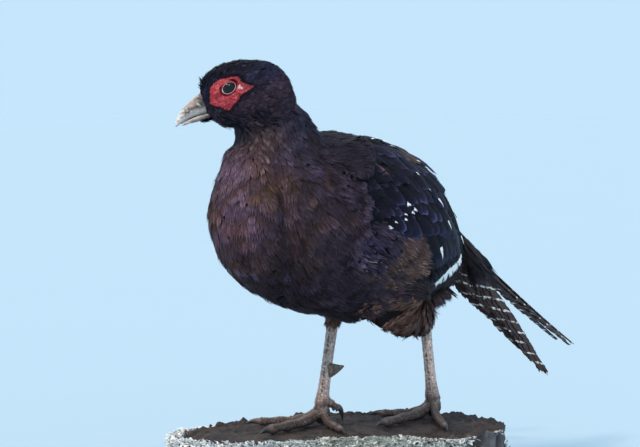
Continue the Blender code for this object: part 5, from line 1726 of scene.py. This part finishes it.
def make_slab(settings, top_material, bark_material):
    """The cut log: a rough weathered top that falls away at its rim, and fissured bark down to a flat underside."""
    around, rings, rows = 360, 84, 44
    turn = circle(around)
    edge = slab_radius(turn)
    share = np.linspace(0, 1, rings) ** 0.8
    share[0] = 0.004
    r = share[:, None] * (edge - 0.0015)[None]
    x, y = r * np.cos(turn), r * np.sin(turn)
    flat = np.stack((x, y, 0 * x), 2).reshape(-1, 3)
    long_way = np.array((math.cos(SLAB_TURN), math.sin(SLAB_TURN), 0))
    run = flat @ long_way
    side_way = flat @ np.array((-long_way[1], long_way[0], 0))
    fibre = ridged(np.stack((run * 0.35, side_way, 0 * run), 1), 0.004, 11.0)
    lumps = wander(flat, 0.016, 12.0)
    crumbs = wander(flat, 0.0035, 13.0)
    rings_of_growth = np.sin(np.linalg.norm(flat * (1, 1.3, 1), axis=1) / 0.0026 * 2.2 + 2 * wander(flat, 0.03, 14.0))
    near_rim = step_up(0.55, 1.0, np.repeat(share, around))
    height = (0.0011 * (fibre - 0.6) + 0.001 * crumbs + 0.0003 * rings_of_growth) * (0.6 + 1.4 * near_rim)
    height += lumps * (0.0004 + 0.002 * near_rim) - 0.0018 * near_rim ** 2
    crack = np.abs(np.sin(np.arctan2(y, x).ravel() * 3.5 + 1.2 * wander(flat, 0.02, 15.0) + 0.6))
    height -= 0.0022 * np.exp(-(crack / 0.035) ** 2) * step_up(0.15, 0.4, np.repeat(share, around))
    top = flat + (0, 0, 1) * (SLAB_TOP - 0.0004 + height)[:, None]
    faces = grid_faces(rings, around, closed=True)
    centre = np.stack((np.full(around - 2, 0), np.arange(1, around - 1), np.arange(2, around)), 1)
    tone = wander(flat, 0.011, 16.0)
    tint = mixed(np.array(settings.wood_dark), np.array(settings.wood_pale),
        np.clip(0.28 + 0.4 * tone + 0.45 * (fibre - 0.6), 0, 1))
    tint = mixed(tint, rgb("#1d1a1e"), np.exp(-(crack / 0.05) ** 2) * 0.8)
    tint = mixed(tint, rgb("#2a2c36"), np.clip(wander(flat, 0.03, 17.0), 0, 1) * 0.5)
    made = solid_of("log_top", top, [faces, centre], top_material, None, {"Tint": tint})
    given(made, "log_wood", "slab")
    rim = top[-around:, 2]
    level = np.linspace(0, 1, rows)
    heights = rim[None] * (1 - level)[:, None]
    spot = np.stack((np.cos(turn)[None] * edge[None] + 0 * heights, np.sin(turn)[None] * edge[None] + 0 * heights,
        heights), 2)
    rows_of = spot.reshape(-1, 3)
    plates = ridged(rows_of * (1, 1, 0.35), 0.011, 21.0)
    chips = wander(rows_of * (1, 1, 0.6), 0.0032, 22.0)
    inward = 0.0006 + 0.004 * (1 - plates) + 0.0007 * (chips + 1)
    inward = inward * np.repeat(step_up(0.0, 0.05, level) * step_up(1.0, 0.97, level) * 0.85 + 0.15, around)
    out = np.stack((np.cos(turn), np.sin(turn), 0 * turn), 1)
    side = rows_of - np.tile(out, (rows, 1)) * inward[:, None]
    side[:around] = top[-around:]
    base = np.array([[0, 0, 0]])
    points = np.concatenate((side, base))
    faces = grid_faces(rows, around, closed=True)[:, ::-1]
    last = (rows - 1) * around + np.arange(around)
    under = np.stack((last, np.roll(last, -1), np.full(around, len(side))), 1)[:, ::-1]
    tint = mixed(rgb("#3a3233"), rgb("#776f72"), np.clip(np.append(0.9 * plates - 0.25 + 0.3 * chips, 0), 0, 1))
    crust = np.exp(-(((np.tile(turn, rows) + math.radians(80) + math.pi) % math.tau - math.pi) / 1.6) ** 4)
    tint = mixed(tint, rgb("#8d918d"), np.append(crust * np.clip(0.6 + 0.5 * chips, 0, 1), 0) * 0.8)
    bark = solid_of("log_bark", points, [faces, under], bark_material, None, {"Tint": tint})
    given(bark, "log_wood", "slab")


def make_lichen(settings, material):
    """Frilly lichen fronds that crowd the bark from the rim down, thinner on the side away from the light."""
    rng = np.random.default_rng(130)
    points, faces, tints, bakes, start = [], [], [], [], 0
    columns, rows = 4, 5
    base_faces = grid_faces(rows, columns)
    for _ in range(settings.lichen_count):
        turn = rng.random() * math.tau
        off_front = abs((turn + math.radians(58) + math.pi) % math.tau - math.pi)
        facing = math.exp(-(off_front / 1.7) ** 4)
        proud = 0.0062 * math.exp(-(off_front / 1.25) ** 8)
        on_top = rng.random() < 0.1
        height = (SLAB_TOP + proud) * (1 - rng.random() ** 1.35 * 0.93) - 0.003
        edge = float(slab_radius(np.array([turn]))[0])
        if on_top:
            height, edge = SLAB_TOP, edge - 0.0005 - rng.random() ** 1.6 * 0.013
        place = np.array((math.cos(turn) * edge, math.sin(turn) * edge, height))
        patch = noise.noise(Vector(place * (1, 1, 0.8)) / 0.022 + Vector((5, 2, 1)))
        bare = math.exp(-(((turn - math.radians(60) + math.pi) % math.tau - math.pi) / 0.35) ** 2)
        if patch < -0.95 + 0.8 * (1 - facing) + 1.1 * bare + 0.4 * step_up(0.045, 0.0,
                height) + (0.6 + (off_front > 1.2)) * on_top:
            continue
        out = np.array((math.cos(turn), math.sin(turn), 0.0))
        near_rim = step_up(SLAB_TOP - 0.014, SLAB_TOP - 0.004, height)
        up = unit(np.array([out * rng.uniform(0.15, 0.8) + (0, 0, 1) + rng.normal(0, 0.35, 3)]))[0]
        if rng.random() < 0.25:
            up = unit(np.array([up * (1, 1, -0.6) + out * 0.4]))[0]
        wide = unit(np.cross(up, out)[None] + rng.normal(0, 0.35, (1, 3)))[0]
        facing = np.cross(wide, up)
        length = rng.uniform(0.0038, 0.0092) * (1 - 0.25 * near_rim) * (1 - 0.5 * on_top)
        half = rng.uniform(0.0011, 0.0026)
        if on_top:
            up = unit(np.array([out * rng.uniform(-0.6, 1.0) + (0, 0, 0.35) + rng.normal(0, 0.5, 3) * (1, 1, 0)]))[0]
        t, u = np.meshgrid(np.linspace(0, 1, rows), np.linspace(-1, 1, columns), indexing="ij")
        spread = half * (0.35 + 0.9 * t) * (1 + 0.25 * rng.normal(size=t.shape) * t)
        tip = length * (t - 0.22 * (np.abs(u) < 0.5) * t ** 3 * rng.uniform(0, 1.4))
        curl = 0.0012 * t ** 2 * rng.uniform(0.2, 1.6) + 0.0007 * np.sin(u * 4 + rng.random() * 6) * t
        root = place - out * rng.uniform(0.0016, 0.0034) * (not on_top)
        shape = root + wide * (u * spread)[..., None] + up * tip[..., None] + facing * curl[..., None]
        shape[..., 2] = np.clip(shape[..., 2], 0.0005, SLAB_TOP + (0.0022 if on_top else proud * rng.uniform(0.6,
            1.1) - 0.0028 * step_up(1.2, 1.5, off_front)))
        points.append(shape.reshape(-1, 3))
        faces.append(base_faces + start)
        start += rows * columns
        tone = rng.random()
        warm = 0.5 + 0.5 * math.sin(turn * 2 + 2.4) * rng.uniform(0.4, 1)
        a = rgb("#dcdfde") * (1 - warm * 0.35) + rgb("#e2dec4") * warm * 0.35
        green = rgb("#5f6f6a")
        colour = a * (0.92 + 0.62 * tone) * (0.8 + 0.45 * math.exp(-((turn + 2.2) / 0.8) ** 2 if turn < 3.2 else -((turn
            - 4.08) / 0.8) ** 2))
        share = (1 - t.reshape(-1, 1)) * rng.uniform(0.3, 0.65)
        colour = np.minimum(colour, 0.92) * (1 - share) + green * 0.7 * share
        tints.append(colour)
        flat = np.stack((u.ravel() * 0.5, t.ravel() - 0.5), 1) * 0.003
        bakes.append(flat + (turn / math.tau * 0.98 + 0.01, height / SLAB_TOP * 0.45 + 0.02))
    made = solid_of("lichen_fronds", np.concatenate(points), np.concatenate(faces), material,
        {"OFBake": np.concatenate(bakes)}, {"Tint": np.concatenate(tints)})
    given(made, "log_wood")


# ---------------------------------------------------------------- add-on


def hue(name, description, colour):
    return bpy.props.FloatVectorProperty(name=name, description=description, default=linear(colour)[:3], size=3,
        subtype="COLOR", min=0, max=1)


def metres(name, description, default):
    return bpy.props.FloatProperty(name=name, description=description, default=default, unit="LENGTH")


class PlumageSettings(bpy.types.PropertyGroup):
    """The skin's grain and the tail's bars and colours"""
    skin_grain: bpy.props.FloatProperty(name="Skin grain", description="Size of the cells the skin is remeshed with",
        default=0.002, min=0.001, unit="LENGTH")
    bar_spacing: metres("Bar spacing", "Distance between the tail's pale bars", 0.014)
    bar_width: metres("Bar width", "Width of each pale bar", 0.0026)
    tail_dark: hue("Tail ground", "Colour of the vanes", "#2a2124")
    tail_brown: hue("Tail wear", "Colour of the faded vanes", "#5c453f")


class BarePartSettings(bpy.types.PropertyGroup):
    """The face's and the legs' colours and the face's warts"""
    face_red: hue("Face red", "Colour of the bare face", "#bb323d")
    wart_size: metres("Wart size", "Distance between the face's warts", 0.0013)
    leg_pale: hue("Leg", "Colour of the shank scales", "#efd0c4")
    leg_brown: hue("Leg marks", "Colour of the scutes' middles", "#4a3530")
    toe_brown: hue("Toes", "Colour of the toe scales", "#2d2423")


class SlabSettings(bpy.types.PropertyGroup):
    """The log's colours and its lichen"""
    wood_dark: hue("Wood, dark", "Colour of the top's hollows", "#231d1f")
    wood_pale: hue("Wood, pale", "Colour of the top's crests", "#483c38")
    lichen_count: bpy.props.IntProperty(name="Lichen", description="Fronds tried over the whole rim", default=12000)


class StageSettings(bpy.types.PropertyGroup):
    """Where the camera stands, and the main light"""
    view_turn: bpy.props.FloatProperty(name="View turn", description="Camera azimuth", default=math.radians(45),
        subtype="ANGLE", unit="ROTATION")
    view_rise: bpy.props.FloatProperty(name="View rise", description="Camera elevation", default=math.radians(5.5),
        subtype="ANGLE", unit="ROTATION")
    view_distance: metres("View distance", "Camera to target", 1.3)
    view_width: metres("View width", "Width seen at the target", 0.512)
    key_strength: bpy.props.FloatProperty(name="Key light", description="Strength of the key light", default=2.1)


SHARED = {}


class PHEASANT_OT_skin(bpy.types.Operator):
    """Make the one skin under all the plumage"""
    bl_idname = "pheasant.skin"
    bl_label = "Skin"

    def execute(self, context):
        skin = make_skin(context.scene.pheasant_plumage)
        webs, downs = tints_at(skin.points)
        tint = mixed(downs, webs, 0.3) * 0.8
        made = solid_of("skin", skin.points, skin.faces, skin_finish(), None, {"Tint": tint})
        given(made, "body_feathers", *FLESH)
        SHARED["skin"] = skin
        return {"FINISHED"}


class PHEASANT_OT_plumage(bpy.types.Operator):
    """Lay the feathers of the head, neck, body and thighs"""
    bl_idname = "pheasant.plumage"
    bl_label = "Body plumage"

    def execute(self, context):
        skin = SHARED["skin"]
        body = feather_finish("loose_body_feather", math.radians(16), "#7d6e86", 0.55, gloss=0.035)
        sleek = feather_finish("sleek_head_feather", math.radians(12), "#302f42", 0.46, gloss=0.03)
        hair = feather_finish("hair_like_thigh_feather", math.radians(8), "#6a5246", 0.6, gloss=0.05)
        head_shapes = [plume(4, seed, fray=0.2) for seed in range(20, 25)]
        free = lambda p: ~bare_at(p) & (on_thigh(p) == 0)
        height = lambda p: p[:, 2] - SLAB_TOP
        given(body_coat(skin, "coat_head", 1, lambda p: free(p) & (on_head(p) > 0.5), sleek, 0.58, head_shapes),
            "body_feathers")
        rest = lambda p: free(p) & (on_head(p) <= 0.5) & ~on_wing(p)
        front = lambda p: rest(p) & (p[:, 1] < -0.05)
        given(body_coat(skin, "coat_breast", 2, front, body), "body_feathers")
        given(body_coat(skin, "coat_back", 3, lambda p: rest(p) & ~front(p) & (height(p) > 0.165), body),
            "body_feathers")
        given(body_coat(skin, "coat_belly", 4, lambda p: rest(p) & ~front(p) & (height(p) <= 0.165), body),
            "body_feathers")
        given(thigh_coat(skin, hair), "thigh_feathers")
        given(head_bristles(skin, sleek), "body_feathers")
        return {"FINISHED"}


class PHEASANT_OT_wings(bpy.types.Operator):
    """Lay the coverts and quills of both folded wings"""
    bl_idname = "pheasant.wings"
    bl_label = "Wings"

    def execute(self, context):
        finish = feather_finish("glossy_wing_feather", math.radians(38), "#63608c", 0.48, gloss=0.045)
        for side in (LEFT, RIGHT):
            given(wing_coat(SHARED["skin"], side, finish), "wing_feathers")
        return {"FINISHED"}


class PHEASANT_OT_tail(bpy.types.Operator):
    """Make the sixteen barred tail feathers"""
    bl_idname = "pheasant.tail"
    bl_label = "Tail"

    def execute(self, context):
        finish = tail_finish(context.scene.pheasant_plumage)
        for side in (LEFT, RIGHT):
            for number in range(len(TAIL_FEATHERS)):
                tail_feather(side, number, finish)
        return {"FINISHED"}


class PHEASANT_OT_head(bpy.types.Operator):
    """Make the bare face, lids, eyes and bill"""
    bl_idname = "pheasant.head"
    bl_label = "Face, eyes and bill"

    def execute(self, context):
        settings = context.scene.pheasant_bare
        red = tinted_finish("dried_wattle_skin", 0.0008, 0.5, 0.28, Roughness=0.5, IOR=1.45, Specular_IOR_Level=0.3)
        rim = finish_of("dried_lid_rim", Roughness=0.5, IOR=1.45, Base_Color=linear("#c4aeb0"))[0]
        horn = tinted_finish("bill_horn_worn", 0.0007, 0.5, 0.3, Roughness=0.5, IOR=1.54, Specular_IOR_Level=0.3)
        glass = eye_finish()
        for side in (LEFT, RIGHT):
            make_face(side, settings, red)
            make_lids(side, rim)
            make_eye(side, glass)
        make_bill(False, horn)
        make_bill(True, horn)
        return {"FINISHED"}


class PHEASANT_OT_legs(bpy.types.Operator):
    """Make the scaled legs, claws and spurs"""
    bl_idname = "pheasant.legs"
    bl_label = "Legs"

    def execute(self, context):
        scales = tinted_finish("dried_leg_scales", 0.0009, 0.4, 0.28, Roughness=0.52, IOR=1.5, Specular_IOR_Level=0.3)
        horn = tinted_finish("claw_horn_dull", 0.0005, 0.2, 0.2, Roughness=0.4, IOR=1.54)
        for side in (LEFT, RIGHT):
            make_leg(side, context.scene.pheasant_bare, scales, horn)
        return {"FINISHED"}


class PHEASANT_OT_slab(bpy.types.Operator):
    """Make the log slab with its bark and lichen"""
    bl_idname = "pheasant.slab"
    bl_label = "Slab"

    def execute(self, context):
        settings = context.scene.pheasant_slab
        wood = tinted_finish("weathered_sawn_log", 0.0012, 0.6, 0.35, Roughness=0.85, IOR=1.5)
        bark = tinted_finish("dry_fissured_bark", 0.0014, 0.6, 0.3, Roughness=0.9, IOR=1.5)
        frond = tinted_finish("dried_foliose_lichen", 0.0008, 0.4, 0.2, Roughness=0.9, IOR=1.45)
        make_slab(settings, wood, bark)
        make_lichen(settings, frond)
        return {"FINISHED"}


class PHEASANT_OT_stage(bpy.types.Operator):
    """Set the pale floor, the soft lights and the camera"""
    bl_idname = "pheasant.stage"
    bl_label = "Stage"

    def execute(self, context):
        settings = context.scene.pheasant_stage
        floor_finish, tree, shader = finish_of("matt_pale_floor", Roughness=0.9, IOR=1.45)
        place = add(tree, "TexCoord")
        mottle = add(tree, "TexNoise", {"Vector": place.outputs["Object"], "Scale": 3.0})
        shade = add(tree, "Mix", {0: mottle, 6: linear("#a8c0d0"), 7: linear("#a9c1d1")}, data_type="RGBA")
        wire(tree, shader, {"Base Color": shade})
        points = np.array(((-9, -9, 0), (9, -9, 0), (9, 9, 0), (-9, 9, 0)), dtype=float)
        solid_of("floor", points, np.array(((0, 1, 2, 3),)), floor_finish)
        turn, rise = settings.view_turn, settings.view_rise
        back = Vector((math.sin(turn) * math.cos(rise), -math.cos(turn) * math.cos(rise), math.sin(rise)))
        right = Vector((math.cos(turn), math.sin(turn), 0))
        target = Vector((0, 0, 0.236)) - right * 0.016
        lens = bpy.data.cameras.new("camera")
        lens.sensor_width = 36.0
        lens.lens = lens.sensor_width * settings.view_distance / settings.view_width
        camera = bpy.data.objects.new("camera", lens)
        camera.location = target + back * settings.view_distance
        camera.rotation_mode = "QUATERNION"
        camera.rotation_quaternion = (-back).to_track_quat("-Z", "Y")
        context.scene.collection.objects.link(camera)
        context.scene.camera = camera
        world = bpy.data.worlds.new("studio")
        world.use_nodes = True
        world.node_tree.nodes["Background"].inputs["Color"].default_value = linear("#c5e6fc")
        world.node_tree.nodes["Background"].inputs["Strength"].default_value = 1.0
        context.scene.world = world
        ahead = Vector((back.x, back.y, 0)).normalized()
        for name, way, power, spread, colour in (("key", ahead * 0.6 - right * 0.62 + Vector((0, 0, 1.0)),
                settings.key_strength, 14, "#ffe6ce"), ("front", ahead + right * 0.12 + Vector((0, 0, 1.1)), 0.8, 6,
                "#ffeedd"), ("rim", -ahead * 0.9 - right * 0.5 + Vector((0, 0, 0.9)), 0.5, 30, "#fff0e4")):
            lamp = bpy.data.lights.new(name, "SUN")
            lamp.energy, lamp.angle, lamp.color = power, math.radians(spread), linear(colour)[:3]
            light = bpy.data.objects.new(name, lamp)
            light.rotation_mode = "QUATERNION"
            light.rotation_quaternion = (-way).to_track_quat("-Z", "Y")
            context.scene.collection.objects.link(light)
        context.scene.view_settings.view_transform = "Standard"
        return {"FINISHED"}


class PHEASANT_PT_panel(bpy.types.Panel):
    """Lists the makers of each piece"""
    bl_idname = "PHEASANT_PT_panel"
    bl_label = "Mounted pheasant"
    bl_space_type = "VIEW_3D"
    bl_region_type = "UI"
    bl_category = "Pheasant"

    def draw(self, context):
        for operator in OPERATORS:
            self.layout.operator(operator.bl_idname)


OPERATORS = (PHEASANT_OT_skin, PHEASANT_OT_plumage, PHEASANT_OT_wings, PHEASANT_OT_tail, PHEASANT_OT_head,
    PHEASANT_OT_legs, PHEASANT_OT_slab, PHEASANT_OT_stage)
GROUPS = (("pheasant_plumage", PlumageSettings), ("pheasant_bare", BarePartSettings), ("pheasant_slab", SlabSettings),
    ("pheasant_stage", StageSettings))


def register():
    for name, group in GROUPS:
        bpy.utils.register_class(group)
        setattr(bpy.types.Scene, name, bpy.props.PointerProperty(type=group))
    for operator in OPERATORS:
        bpy.utils.register_class(operator)
    bpy.utils.register_class(PHEASANT_PT_panel)


def unregister():
    bpy.utils.unregister_class(PHEASANT_PT_panel)
    for operator in reversed(OPERATORS):
        bpy.utils.unregister_class(operator)
    for name, group in reversed(GROUPS):
        delattr(bpy.types.Scene, name)
        bpy.utils.unregister_class(group)


def main():
    register()
    for operator in OPERATORS:
        area, name = operator.bl_idname.split(".")
        getattr(getattr(bpy.ops, area), name)()


if __name__ == "__main__":
    main()
